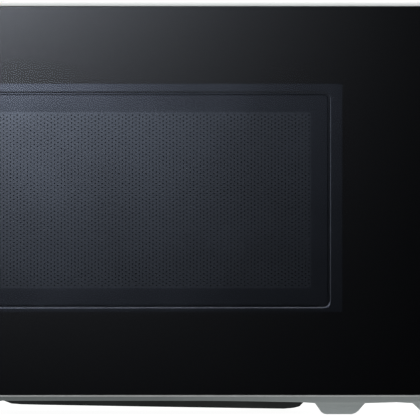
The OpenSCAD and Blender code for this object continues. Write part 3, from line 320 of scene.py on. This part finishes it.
# Glass-fibre board: green lacquer over pale copper tracks
def circuitBoard():
    material, shader = startMaterial("glass_fibre_board_lacquered", {"IOR": 1.55, "Roughness": 0.35})
    place = addNode(material, "ShaderNodeTexCoord")
    tracks = addNode(material, "ShaderNodeTexBrick", None, {
        "Vector": place.outputs["Object"], "Scale": perSize(40), "Color1": hexColour("#2c6b3d"),
        "Color2": hexColour("#2a6439"), "Mortar": hexColour("#4c8b52")})
    material.node_tree.links.new(tracks.outputs[0], shader.inputs["Base Color"])
    bump = addNode(material, "ShaderNodeBump", None, {
        "Height": tracks.outputs["Fac"], "Distance": 0.03 * mm})
    material.node_tree.links.new(bump.outputs[0], shader.inputs["Normal"])
    return material


coverPaint = powderCoatedSteel()
zincSheet = galvanisedSheet()
framePaint = plainMoulding("polyester_paint_sprayed_silver", "#d4d7d7", "#cbcece", 1.5, 0.01, (0.34, 0.42))
baseSteel = phosphatedBase()
coverSteel = blackCoverSteel()
cavityPaint = cavityEnamel()
blackPlastic = blackMoulding()
chokePlastic = blackMoulding("polypropylene_moulded_charcoal", "#1f2022", "#18191b", (0.42, 0.58))
glossPlastic = blackMoulding("abs_moulded_piano_black", "#08090b", "#060708", (0.04, 0.1))
acetal = naturalAcetal()
glassTinted = tintedFloatGlass()
inkBlack = ceramicPrint()
panelGlass = ceramicPrint("back_printed_float_glass")
screenLacquer = screenSteel()
# the webs between the holes: the same lacquer made paler, painted light
screenWebsLightened = screenSteel("dark_lacquered_steel_punched_painted_lighter", screenPaint["webLight"], screenPaint["webDark"])
trayGlass = pressedTrayGlass()
filmSmoked = windowFilm()
clockWindow = displayWindow()
dialMetal = brushedAluminium()
keyMetal = brushedAluminium("aluminium_foiled_cap_brushed", (0.05, 1, 1))
print("materials of the outside made")


# shapes

def roundedLoop(bm, box, depth, radius, along="y", steps=4):
    # edge loop of a rounded rectangle, square to one axis; box is low a, high a, low b, high b in mm
    a0, a1, b0, b1 = box
    order = {"x": lambda a, b: (depth, a, b), "y": lambda a, b: (a, depth, b)}[along]
    corners = [bm.verts.new(Vector(order(a, b)) * mm) for a, b in ((a0, b0), (a1, b0), (a1, b1), (a0, b1))]
    bm.faces.new(corners)
    bmesh.ops.bevel(bm, geom=corners, offset=radius * mm, offset_type="OFFSET", segments=steps,
                    profile=0.5, affect="VERTICES", material=-1)
    face = bm.faces[:][-1]
    edges = list(face.edges)
    bmesh.ops.delete(bm, geom=[face], context="FACES_ONLY")
    return edges


def grown(box, by):
    return (box[0] - by, box[1] + by, box[2] - by, box[3] + by)


def loft(bm, loops, firstCap=True, lastCap=True, closed=False, along="y"):
    # skins a row of loops; they stand apart on one line while they are bridged, so none of them twists
    places = {}
    for row, edges in enumerate(loops):
        ring = {v for e in edges for v in e.verts}
        centre = sum((v.co for v in ring), Vector()) / len(ring)
        for v in ring:
            places[v] = v.co.copy()
            v.co = v.co - centre
            v.co["xyz".index(along)] += row * 100 * mm
    bands = []
    pairs = list(zip(loops, loops[1:])) + ([(loops[-1], loops[0])] if closed else [])
    for one, other in pairs:
        bands.append(bmesh.ops.bridge_loops(bm, edges=one + other)["faces"])
    for wanted, edges in ((firstCap, loops[0]), (lastCap, loops[-1])):
        if wanted and not closed:
            bands.append(bmesh.ops.contextual_create(bm, geom=edges)["faces"])
    for v, place in places.items():
        v.co = place
    return bands


def loftedBox(bm, box, profile, along="y", steps=4, **caps):
    # profile rows are (grow, depth, corner radius), all in mm
    loops = [roundedLoop(bm, grown(box, g), d, r, along, steps) for g, d, r in profile]
    return loft(bm, loops, along=along, **caps)


def spunProfile(bm, rows, centre, axis, steps):
    # rows are (radius, height along the axis) in mm, from pole to pole
    side = Vector((1, 0, 0)) if abs(axis[0]) < 0.5 else Vector((0, 0, 1))
    points = [bm.verts.new((Vector(centre) + side * r + Vector(axis) * h) * mm) for r, h in rows]
    edges = [bm.edges.new(pair) for pair in zip(points, points[1:])]
    bmesh.ops.spin(bm, geom=points + edges, cent=Vector(centre) * mm, axis=axis, angle=math.tau,
                   steps=steps, use_merge=True)
    bmesh.ops.remove_doubles(bm, verts=bm.verts, dist=0.001 * mm)


def makePiece(name, bm, materials, body, stands=(), sharp=35, normals=True):
    if normals:
        bmesh.ops.recalc_face_normals(bm, faces=bm.faces)
    bm.normal_update()
    for edge in bm.edges:
        edge.smooth = len(edge.link_faces) == 2 and edge.calc_face_angle(3.0) < math.radians(sharp)
    for face in bm.faces:
        face.smooth = True
    mesh = bpy.data.meshes.new(name)
    bm.to_mesh(mesh)
    bm.free()
    piece = bpy.data.objects.new(name, mesh)
    scene.collection.objects.link(piece)
    for material in materials:
        mesh.materials.append(material)
    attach(piece, body)
    if stands:
        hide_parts(*stands)
    return piece


def softEdges(piece, width, segments=2, angle=32):
    edge = piece.modifiers.new("edge radius", "BEVEL")
    edge.width, edge.segments, edge.profile = width * mm, segments, 0.5
    edge.limit_method, edge.angle_limit = "ANGLE", math.radians(angle)
    edge.use_clamp_overlap, edge.harden_normals, edge.miter_outer = True, True, "MITER_ARC"


def softenedCopy(node, name, material, width, segments=2, angle=32, pierced=False):
    # a merged copy of the solid with the small radii that its tool leaves;
    # a pierced sheet keeps its triangles
    source = nodes[node]
    bm = bmesh.new()
    bm.from_mesh(source.data)
    bmesh.ops.remove_doubles(bm, verts=bm.verts, dist=0.002 * mm)
    if not pierced:
        bmesh.ops.dissolve_limit(bm, angle_limit=math.radians(0.5), verts=bm.verts, edges=bm.edges)
    piece = makePiece(name, bm, [material], source["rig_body"], (node,), normals=False)
    softEdges(piece, width, segments, angle)


def frontSheet(name, bm, material, thickness, stands=()):
    # sheet steel of the door: its skin is turned to the front, then thickened to the back
    bmesh.ops.recalc_face_normals(bm, faces=bm.faces)
    bm.normal_update()
    if sum(f.normal.y * f.calc_area() for f in bm.faces) > 0:
        bmesh.ops.reverse_faces(bm, faces=bm.faces)
    piece = makePiece(name, bm, [material], "door", stands, normals=False)
    wall = piece.modifiers.new("sheet", "SOLIDIFY")
    wall.thickness, wall.offset = thickness * mm, -1


def boxOf(node):
    low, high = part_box(node)
    return [c / mm for c in low], [c / mm for c in high]


# door

glassLow, glassHigh = boxOf("door_glass")
pane = {"corner": 2.5, "arris": 0.35, "opening": (-154.5, 84.1, 65.3, 210.3), "openingCorner": 0.8,
        "backOff": 0.02}

bm = bmesh.new()
front, back = glassLow[1], glassHigh[1] - pane["backOff"]
outline = (glassLow[0], glassHigh[0], glassLow[2], glassHigh[2])
rows = [(-pane["arris"], front, pane["corner"] - pane["arris"]), (0, front + pane["arris"], pane["corner"]),
        (0, back - pane["arris"], pane["corner"]), (-pane["arris"], back, pane["corner"] - pane["arris"])]
loops = [roundedLoop(bm, grown(outline, g), d, r) for g, d, r in rows]
loops.append(roundedLoop(bm, pane["opening"], back, pane["openingCorner"]))
bands = loft(bm, loops)
for face in bands[1] + bands[2] + bands[3]:
    face.material_index = 1  # the back ring is the real print; the side and back arris get the same black as painted shade, for the dark rim the print's inner reflections give
makePiece("door_front_pane", bm, [glassTinted, inkBlack], "door", ("door_glass",))

screen = {"bead": (-146.5, 76.5, 67.8, 205.0), "beadWide": 2.0, "beadDeep": 0.9, "beadRadius": 4.6,
          "field": (-134.5, 64.1, 80.2, 192.2), "pitch": 2.49, "hole": 0.3, "sheet": 0.8,
          "webSheet": 0.5, "webBack": 0.04}
screenLow, screenHigh = boxOf("door_screen")
plateY = screenLow[1]
plate = (screenLow[0], screenHigh[0], screenLow[2], screenHigh[2])
bm = bmesh.new()
wide, deep, turn = screen["beadWide"], screen["beadDeep"], screen["beadRadius"]
loops = [roundedLoop(bm, grown(plate, g), d, r) for g, d, r in (
    (0, screenHigh[1], 2), (0, plateY + 1.1, 2), (-0.35, plateY + 0.35, 1.8), (-1.1, plateY, 1.5),
    (-1.5, plateY, 1.3))]
loops += [roundedLoop(bm, grown(screen["bead"], -g), d, r) for g, d, r in (
    (-0.4, plateY, turn + 0.4), (0, plateY, turn), (0.3, plateY + 0.2, turn - 0.3),
    (0.6, plateY + deep, turn - 0.6), (wide - 0.6, plateY + deep, turn - wide + 0.6),
    (wide - 0.25, plateY + 0.25, turn - wide + 0.3), (wide, plateY, turn - wide),
    (wide + 0.4, plateY, turn - wide - 0.4))]
loops.append(roundedLoop(bm, screen["field"], plateY, 0.5))
loft(bm, loops, firstCap=False, lastCap=False)
frontSheet("door_screen_plate", bm, screenLacquer, screen["sheet"], ("door_screen",))

# the holes: a honeycomb of cells, each with a six-sided hole, and one ring of plain cells round them
pitch = screen["pitch"]
cellR = pitch / math.sqrt(3)
step = pitch * math.cos(math.radians(30))
columns = int((screen["field"][1] - screen["field"][0]) / step)
lines = int((screen["field"][3] - screen["field"][2]) / pitch)
startX = (screen["field"][0] + screen["field"][1] - (columns - 1) * step) / 2
startZ = (screen["field"][2] + screen["field"][3] - (lines - 0.5) * pitch) / 2
turned = Matrix.Rotation(math.radians(90), 4, "X") @ Matrix.Rotation(math.radians(30), 4, "Z")
bm = bmesh.new()
for j in range(-1, lines + 1):
    cellAt = Matrix.Translation(Vector((startX - step, plateY + screen["webBack"], startZ + j * pitch)) * mm)
    bmesh.ops.create_circle(bm, cap_ends=True, segments=6, radius=cellR * mm, matrix=cellAt @ turned)
column = list(bm.faces)
for i in range(columns + 1):
    copied = bmesh.ops.duplicate(bm, geom=[e for f in column for e in (f, *f.edges, *f.verts)])["geom"]
    shift = Vector((step * (i + 1), 0, (pitch / 2 if i % 2 else 0))) * mm
    bmesh.ops.translate(bm, verts=[g for g in copied if isinstance(g, bmesh.types.BMVert)], vec=shift)
cells = []
for f in bm.faces:
    spot = f.calc_center_median() / mm
    inX = startX - 0.5 < spot.x < startX + (columns - 0.5) * step
    if inX and startZ - 0.5 < spot.z < startZ + (lines - 0.4) * pitch:
        cells.append(f)
bmesh.ops.inset_individual(bm, faces=cells, thickness=(pitch / 2 - screen["hole"]) * mm)
bmesh.ops.delete(bm, geom=cells, context="FACES")
bmesh.ops.remove_doubles(bm, verts=bm.verts, dist=0.05 * mm)
frontSheet("door_screen_holes", bm, screenWebsLightened, screen["webSheet"])
print("door: pane, screen plate and", len(cells), "holes")

softenedCopy("door_frame", "door_moulded_frame", blackPlastic, 0.4)
softenedCopy("choke_cover", "door_choke_ring", chokePlastic, 0.3)
softenedCopy("latch_hooks", "door_latch_hooks", acetal, 0.35)
softenedCopy("inner_pane", "door_inner_film", filmSmoked, 0.2)

# cabinet

lip = {"corner": 6.0, "below": 20, "end": 4, "section": [  # rows are (inwards, backwards)
    (0.05, 0.05), (0.05, -0.06), (0.2, -0.22), (0.9, -0.56), (1.7, -0.9), (2.05, -0.96), (2.35, -0.7),
    (2.4, 0.05)]}
coverLow, coverHigh = boxOf("outer_cover")
coverFront = coverLow[1]
bm = bmesh.new()
opening = (coverLow[0], coverHigh[0], coverLow[2] - lip["below"], coverHigh[2])
loops = [roundedLoop(bm, grown(opening, -g), coverFront + d, max(lip["corner"] - g, 0.5), steps=6)
         for g, d in lip["section"]]
loft(bm, loops, closed=True)
cut = bmesh.ops.bisect_plane(bm, geom=bm.verts[:] + bm.edges[:] + bm.faces[:],
                             plane_co=(0, 0, (coverLow[2] + lip["end"]) * mm), plane_no=(0, 0, -1),
                             clear_outer=True)
bmesh.ops.holes_fill(bm, edges=[g for g in cut["geom_cut"] if isinstance(g, bmesh.types.BMEdge)])
makePiece("cover_rolled_front_edge", bm, [coverPaint], "cabinet", sharp=50)

baseLow, baseHigh = boxOf("base_plate")
strapHigh = boxOf("lower_hinge")[1]
hem = {"from": strapHigh[0] + 0.8, "to": baseHigh[0] - 1.6, "low": 11.2, "high": 12.2, "thick": 0.9}
bm = bmesh.new()
hemY = baseLow[1]
loftedBox(bm, (hemY - 0.12, hemY + hem["thick"], hem["low"], hem["high"]), [
    (-0.3, hem["from"], 0.15), (0, hem["from"] + 0.3, 0.42), (0, hem["to"] - 0.3, 0.42),
    (-0.3, hem["to"], 0.15)], "x")
# the hem wears the paler silver frame paint, not the base's grey: its rounded top catches real light, and
# the paler paint adds a painted highlight along the top of the skirt
makePiece("base_rolled_hem", bm, [framePaint], "cabinet", sharp=50)
print("cabinet: rolled edges")

softenedCopy("base_plate", "base_pressed_plate", baseSteel, 0.25, pierced=True)
# the cover is near-black: painted shade for the shadow under the oven
softenedCopy("motor_access_cover", "base_motor_cover", coverSteel, 0.5, 3)
softenedCopy("cover_screws", "cover_cross_screws", zincSheet, 0.3)
softenedCopy("rear_feet", "rear_rubber_feet", plainMoulding(
    "nitrile_rubber_moulded", "#232425", "#1b1c1d", 0.6, 0.03, (0.6, 0.8)), 0.8, 3)
switchPlastic = plainMoulding("nylon_moulded_black", "#232427", "#1a1b1d", 0.5, 0.015, (0.42, 0.58), 1.53)
softenedCopy("cord_inlet", "rear_cord_inlet", switchPlastic, 0.7, 3)

# control panel

softenedCopy("control_glass", "control_front_pane", panelGlass, 0.35)
softenedCopy("control_housing", "control_moulded_housing", blackPlastic, 0.3)
softenedCopy("release_button", "door_push_button", glossPlastic, 0.6, 3)
softenedCopy("display_module", "clock_window", clockWindow, 0.4)

keyCap = {"corner": 1.8, "dish": 0.25, "round": 0.55, "proud": 0.8, "flange": 1.2, "flangeThick": 1.4,
          "stemR": 2.0}
glassDepth = glassHigh[1] - glassLow[1]
for word in ("power", "clock", "stop", "start"):
    low, high = boxOf("key_" + word)
    box = grown((low[0], high[0], low[2], high[2]), -keyCap["flange"])
    face = low[1]
    glassBack = face + keyCap["proud"] + glassDepth
    stemTop = glassBack + keyCap["flangeThick"]
    stem = high[1] - stemTop
    bm = bmesh.new()
    loftedBox(bm, box, [
        (-3.2, face + keyCap["dish"], 0.6), (-1.6, face + keyCap["dish"] * 0.7, 0.9),
        (-keyCap["round"], face, 1.4), (-0.16, face + 0.16, 1.6),
        (0, face + keyCap["round"], keyCap["corner"]), (0, glassBack, keyCap["corner"]),
        (keyCap["flange"] - 0.2, glassBack + 0.02, 2.0), (keyCap["flange"], glassBack + 0.2, 2.0),
        (keyCap["flange"], stemTop, 2.0)], steps=5)
    centre = ((box[0] + box[1]) / 2, (box[2] + box[3]) / 2)
    stemR = keyCap["stemR"]
    spunProfile(bm, [(0, -0.05), (stemR, -0.05), (stemR, stem - 0.3), (stemR - 0.3, stem), (0, stem)],
                (centre[0], stemTop, centre[1]), (0, 1, 0), 20)
    makePiece("keycap_" + word, bm, [keyMetal], word + "_key", ("key_" + word,))
print("control panel: pane, button and four keycaps")

knob = {"grips": 60, "gripDeep": 0.45, "dish": 0.7, "markWide": 1.4, "markTall": 7.0, "markIn": 4.2}
dialLow, dialHigh = boxOf("dial")
dialR = (dialHigh[2] - dialLow[2]) / 2
dialAxis = ((dialLow[0] + dialHigh[0]) / 2, (dialLow[2] + dialHigh[2]) / 2)
dialFace, dialBack = dialLow[1], glassLow[1] - 0.6
bm = bmesh.new()
spunProfile(bm, [
    (0, dialFace + knob["dish"]), (dialR - 7, dialFace + knob["dish"]),
    (dialR - 3.6, dialFace + knob["dish"] * 0.6), (dialR - 2.6, dialFace + 0.05), (dialR - 2.1, dialFace),
    (dialR - 1.2, dialFace + 0.15), (dialR - 0.4, dialFace + 0.7), (dialR, dialFace + 1.5),
    (dialR, dialBack - 2.2), (dialR - 0.5, dialBack - 1.7), (dialR - 0.5, dialBack), (3, dialBack),
    (3, dialHigh[1] - 0.4), (2.6, dialHigh[1]), (0, dialHigh[1])],
    (dialAxis[0], 0, dialAxis[1]), (0, 1, 0), knob["grips"] * 2)


def fromDialAxis(face):
    spot = face.calc_center_median() / mm
    return spot.z - dialAxis[1], spot.x - dialAxis[0]


band = [f for f in bm.faces if abs(f.normal.y) < 0.1 and math.hypot(*fromDialAxis(f)) > dialR - 0.2]
band.sort(key=lambda f: math.atan2(*fromDialAxis(f)))
bmesh.ops.recalc_face_normals(bm, faces=bm.faces)
bmesh.ops.inset_individual(bm, faces=band[::2], thickness=0.12 * mm, depth=-knob["gripDeep"] * mm)
makePiece("dial_knurled_cap", bm, [dialMetal], "dial", ("dial",), sharp=28)
bm = bmesh.new()
half, tall = knob["markWide"] / 2, knob["markTall"]
markZ = dialAxis[1] + dialR - knob["markIn"]
loftedBox(bm, (dialAxis[0] - half, dialAxis[0] + half, markZ - tall, markZ), [
    (-0.15, dialFace + knob["dish"] * 0.55, 0.35), (0, dialFace + knob["dish"] * 0.55 + 0.15, 0.6),
    (0, dialFace + knob["dish"] + 0.3, 0.6)])
paintWhite = plainMoulding("acrylic_inlay_white", "#f1f2f0", "#e6e8e6", 0.4, 0.005, (0.3, 0.4))
makePiece("dial_pointer_inlay", bm, [paintWhite], "dial")

# cooking space

trayLow, trayHigh = boxOf("glass_tray")
trayR = (trayHigh[0] - trayLow[0]) / 2
trayAt = ((trayLow[0] + trayHigh[0]) / 2, (trayLow[1] + trayHigh[1]) / 2)
dish = {"thick": 4.0, "rings": (34, 58, 82), "ringTall": 0.35, "lugs": 3, "lugAt": 13, "lugTurn": 117.5,
        "lugR": 2.5, "lugTall": 3.0}
seat = trayLow[2] + dish["lugTall"]
rim = trayHigh[2] - seat
flat = trayR - 16
topRows = []
for r in dish["rings"]:
    topRows += [(r - 1.5, dish["thick"]), (r - 0.5, dish["thick"] + dish["ringTall"]),
                (r + 0.5, dish["thick"] + dish["ringTall"]), (r + 1.5, dish["thick"])]
bm = bmesh.new()
spunProfile(bm, [
    (0, 0), (flat - 1, 0), (flat + 2, 0.25), (flat + 5, 1.1), (trayR - 4, rim - 6), (trayR - 1, rim - 4.3),
    (trayR - 0.3, rim - 3.6), (trayR, rim - 2.8), (trayR, rim - 1.2), (trayR - 0.4, rim - 0.4),
    (trayR - 1.1, rim), (trayR - 2.2, rim - 0.15), (trayR - 5, rim - 1.3), (trayR - 9, rim - 4.0),
    (flat + 3, dish["thick"] + 1.1), (flat, dish["thick"] + 0.2), (flat - 3, dish["thick"]),
    *topRows[::-1], (0, dish["thick"])], (trayAt[0], trayAt[1], seat), (0, 0, 1), 96)
for k in range(dish["lugs"]):
    a = math.radians(dish["lugTurn"] + 360 / dish["lugs"] * k)
    lugX, lugY = trayAt[0] + dish["lugAt"] * math.cos(a), trayAt[1] + dish["lugAt"] * math.sin(a)
    bmesh.ops.create_cone(bm, cap_ends=True, segments=20, radius1=(dish["lugR"] - 0.4) * mm,
                          radius2=dish["lugR"] * mm, depth=(dish["lugTall"] + 0.2) * mm,
                          matrix=Matrix.Translation(Vector((lugX, lugY, seat - 1.4)) * mm))
makePiece("turntable_glass_dish", bm, [trayGlass], "tray", ("glass_tray",))

softenedCopy("roller_ring", "turntable_ring", acetal, 0.4)
for k, node in enumerate(("roller_1", "roller_2", "roller_3")):
    softenedCopy(node, "turntable_wheel_" + "abc"[k], acetal, 0.35)
softenedCopy("drive_coupler", "turntable_drive_hub", acetal, 0.5)
print("turntable: dish, ring, wheels and hub")

# what is under the cover keeps its solids and gets its own finishes
castCeramic = plainMoulding("steatite_ceramic_fired", "#efeee6", "#e4e2d6", 0.5, 0.015, (0.4, 0.55))
micaPlate = plainMoulding("mica_laminated_cut", "#c9b791", "#b59f74", 2.5, 0.02, (0.45, 0.65), 1.56)
fanPlastic = plainMoulding("polypropylene_moulded_grey", "#414445", "#373a3b", 0.6, 0.02, (0.45, 0.6))
bladePlastic = plainMoulding("polypropylene_moulded_natural", "#e6e6dd", "#dad9ce", 0.7, 0.015, (0.35, 0.5))
epoxyBlack = plainMoulding("epoxy_moulded_black", "#26262a", "#1d1d20", 0.5, 0.015, (0.4, 0.55))
finMetal = workedMetal("aluminium_rolled_bright", "#c3c6c8", "#b1b4b7", 0.8, 0.004, (0.25, 0.4), (0.1, 1, 1))
canMetal = workedMetal("aluminium_drawn_can", "#bfc2c3", "#a9adae", 1.0, 0.006, (0.3, 0.42), (1, 1, 0.08))
copperMetal = workedMetal("copper_drawn_tube", "#c98457", "#b06b40", 1.2, 0.006, (0.28, 0.42))
springSteel = workedMetal("spring_steel_wound", "#b9bbbd", "#9a9da0", 0.4, 0.004, (0.25, 0.38))
hingeZinc = workedMetal("steel_zinc_plated_stamped", "#b6babb", "#a2a6a8", 0.6, 0.006, (0.3, 0.45),
                        (1, 0.2, 1))
motorZinc = workedMetal("steel_tin_plated_pressed", "#c3c5c4", "#aeb1b1", 0.9, 0.006, (0.3, 0.42))
coreSteel = ribbedMaterial("silicon_steel_laminated", "#5d5f61", "#3c3e40", 0.5, 0.06, "Y", 0.7)
windingWire = ribbedMaterial("copper_wire_enamelled_wound", "#b5673a", "#7c3f20", 0.9, 0.2, "Z", 0.6)

lampMaterial, lampShader = startMaterial("borosilicate_glass_frosted", {
    "Base Color": "#fbf3df", "IOR": 1.47, "Transmission Weight": 0.3})
surfaceGrain(lampMaterial, lampShader, 0.6, 0.01, (0.3, 0.45))  # frosted, blown glass: a milky bulb
board = circuitBoard()

finishes = {
    coverPaint: ("outer_cover",), framePaint: ("front_frame",),
    zincSheet: ("rear_panel", "waveguide", "magnetron_yoke", "filter_box", "capacitor_clamp"),
    hingeZinc: ("upper_hinge", "lower_hinge"), motorZinc: ("turntable_motor", "fan_motor"),
    cavityPaint: ("cavity_wrap", "cavity_floor", "cavity_rear_wall"), micaPlate: ("waveguide_cover",),
    finMetal: ("magnetron_fins",), copperMetal: ("magnetron_tube",), coreSteel: ("transformer_core",),
    windingWire: ("transformer_windings",), canMetal: ("hv_capacitor",), epoxyBlack: ("hv_diode",),
    fanPlastic: ("fan_shroud",), bladePlastic: ("fan_blade",), lampMaterial: ("oven_lamp",),
    castCeramic: ("lamp_holder", "thermal_cutouts"), board: ("noise_filter_board", "control_board"),
    acetal: ("interlock_bracket", "release_lever"), switchPlastic: ("door_switches",),
    springSteel: ("latch_spring", "release_spring")}
for material, names in finishes.items():
    for name in names:
        for used in nodes[name].material_slots:
            used.material = material
dressed = {name for names in finishes.values() for name in names}
bare = [name for name, solid in nodes.items() if not solid.hide_render and name not in dressed]
print("finishes on the solids set; without one:", bare)


# studio: white floor and surround, a big lamp above, and a graded card whose mirror image lies in the glass

studio = {"floor": 40.0, "floorGlow": 0.965, "surround": 0.5, "top": 33.0, "left": 22.0, "back": 22.0,
          "cardAhead": 1.0, "cardHalf": 0.6, "cardClear": 0.25, "cardPower": 23.5,
          "cardTint": (0.935, 1.005, 1.14)}
world = bpy.data.worlds.new("pale studio")
scene.world = world
world.use_nodes = True
sky = world.node_tree.nodes["Background"]
path = addNode(world, "ShaderNodeLightPath")
level = addNode(world, "ShaderNodeMapRange", None, {
    "Value": path.outputs["Is Camera Ray"], "To Min": studio["surround"], "To Max": 1.0})
world.node_tree.links.new(level.outputs[0], sky.inputs["Strength"])
sky.inputs["Color"].default_value = (1, 1, 1, 1)


def stagePlane(name, material, size, place):
    bm = bmesh.new()
    bmesh.ops.create_grid(bm, x_segments=1, y_segments=1, size=size, matrix=place)
    mesh = bpy.data.meshes.new(name)
    bm.to_mesh(mesh)
    bm.free()
    mesh.materials.append(material)
    plane = bpy.data.objects.new(name, mesh)
    scene.collection.objects.link(plane)
    return plane


# studio paper: it glows a little of itself, so it stays white under the oven
floorMaterial, _ = startMaterial("studio_paper_white", {
    "Base Color": "#3f3f3f", "Roughness": 0.9, "Emission Color": (1, 1, 1, 1),
    "Emission Strength": studio["floorGlow"]})
floor = stagePlane("studio_floor", floorMaterial, studio["floor"], Matrix())
floor.visible_glossy = False

# the card: brightest at the upper left, its light falling off along both sides
eyeZ = 0.13002
glassY = glassLow[1] * mm
glassHalf = {"wide": 0.18, "tall": 0.15}  # what the card's mirror image has to cover
cameraFar = 12.0
reach = 1 + studio["cardAhead"] / cameraFar
cardMaterial = bpy.data.materials.new("graded_light_card")
cardMaterial.use_nodes = True
for old in list(cardMaterial.node_tree.nodes):
    cardMaterial.node_tree.nodes.remove(old)
place = addNode(cardMaterial, "ShaderNodeTexCoord")
parts = addNode(cardMaterial, "ShaderNodeSeparateXYZ", None, {0: place.outputs["Object"]})
across = addNode(cardMaterial, "ShaderNodeMapRange", None, {
    "Value": parts.outputs[0], "From Min": -glassHalf["wide"] * reach, "From Max": glassHalf["wide"] * reach,
    "To Min": -glassHalf["wide"], "To Max": glassHalf["wide"]})
upward = addNode(cardMaterial, "ShaderNodeMapRange", None, {
    "Value": parts.outputs[2], "From Min": eyeZ - glassHalf["tall"] * reach,
    "From Max": eyeZ + glassHalf["tall"] * reach, "To Min": -glassHalf["tall"], "To Max": glassHalf["tall"]})
fallOff = {"start": -4.487, "across": -8.407, "up": 9.605, "acrossTwice": -17.106, "upTwice": -2.533,
           "both": -30.546}
total = fallOff["start"]
for first, second, weight in ((across, None, "across"), (upward, None, "up"),
                              (across, across, "acrossTwice"), (upward, upward, "upTwice"),
                              (across, upward, "both")):
    product = first.outputs[0]
    if second:
        product = addNode(cardMaterial, "ShaderNodeMath", {"operation": "MULTIPLY"},
                          {0: first.outputs[0], 1: second.outputs[0]}).outputs[0]
    total = addNode(cardMaterial, "ShaderNodeMath", {"operation": "MULTIPLY_ADD"},
                    {0: product, 1: fallOff[weight], 2: total}).outputs[0]
glow = addNode(cardMaterial, "ShaderNodeMath", {"operation": "EXPONENT"}, {0: total})
power = addNode(cardMaterial, "ShaderNodeMath", {"operation": "MULTIPLY"}, {
    0: glow.outputs[0], 1: studio["cardPower"]})
light = addNode(cardMaterial, "ShaderNodeEmission", None,
                {"Color": (*studio["cardTint"], 1), "Strength": power.outputs[0]})
cardAt = (0, glassY - studio["cardAhead"], eyeZ)
fromMiddle = addNode(cardMaterial, "ShaderNodeVectorMath", {"operation": "DISTANCE"}, {
    0: place.outputs["Object"], 1: cardAt})
fade = addNode(cardMaterial, "ShaderNodeMapRange", {"interpolation_type": "SMOOTHSTEP"}, {
    "Value": fromMiddle.outputs["Value"], "From Min": studio["cardClear"],
    "From Max": studio["cardHalf"]})
clear = addNode(cardMaterial, "ShaderNodeBsdfTransparent")
both = addNode(cardMaterial, "ShaderNodeMixShader", None, {
    0: fade.outputs[0], 1: light.outputs[0], 2: clear.outputs[0]})
addNode(cardMaterial, "ShaderNodeOutputMaterial", None, {"Surface": both.outputs[0]})
upright = Matrix.Rotation(math.radians(90), 4, "X")
card = stagePlane("graded_card", cardMaterial, studio["cardHalf"], Matrix.Translation(cardAt) @ upright)
card.visible_camera = card.visible_diffuse = card.visible_shadow = False


def softLamp(name, spot, aim, size, watts):
    lamp = bpy.data.lights.new(name, "AREA")
    lamp.shape, lamp.size, lamp.energy = "SQUARE", size, watts
    holder = bpy.data.objects.new(name, lamp)
    scene.collection.objects.link(holder)
    holder.location = spot
    holder.rotation_euler = (Vector(aim) - Vector(spot)).to_track_quat("-Z", "Y").to_euler()
    holder.visible_camera = False


softLamp("overhead", (-0.35, -0.55, 2.1), (0, 0, 0.15), 1.8, studio["top"])
softLamp("side fill", (-2.1, -1.5, 1.1), (0, 0, 0.13), 1.4, studio["left"])
softLamp("back fill", (1.2, 2.0, 1.3), (0, 0, 0.13), 1.4, studio["back"])

# camera: level with the middle of the oven and a long way off, so the sides stay square
view = {"half": 0.13339, "far": cameraFar}
lens = bpy.data.cameras.new("long lens")
lens.sensor_width = 36
lens.lens = lens.sensor_width / 2 / (view["half"] / view["far"])
lens.clip_start, lens.clip_end = 0.1, 200
camera = bpy.data.objects.new("long lens", lens)
scene.collection.objects.link(camera)
camera.location = (0, glassY - view["far"], eyeZ)
camera.rotation_euler = (math.radians(90), 0, 0)
scene.camera = camera
scene.view_settings.view_transform = "Standard"
print("studio and camera set")
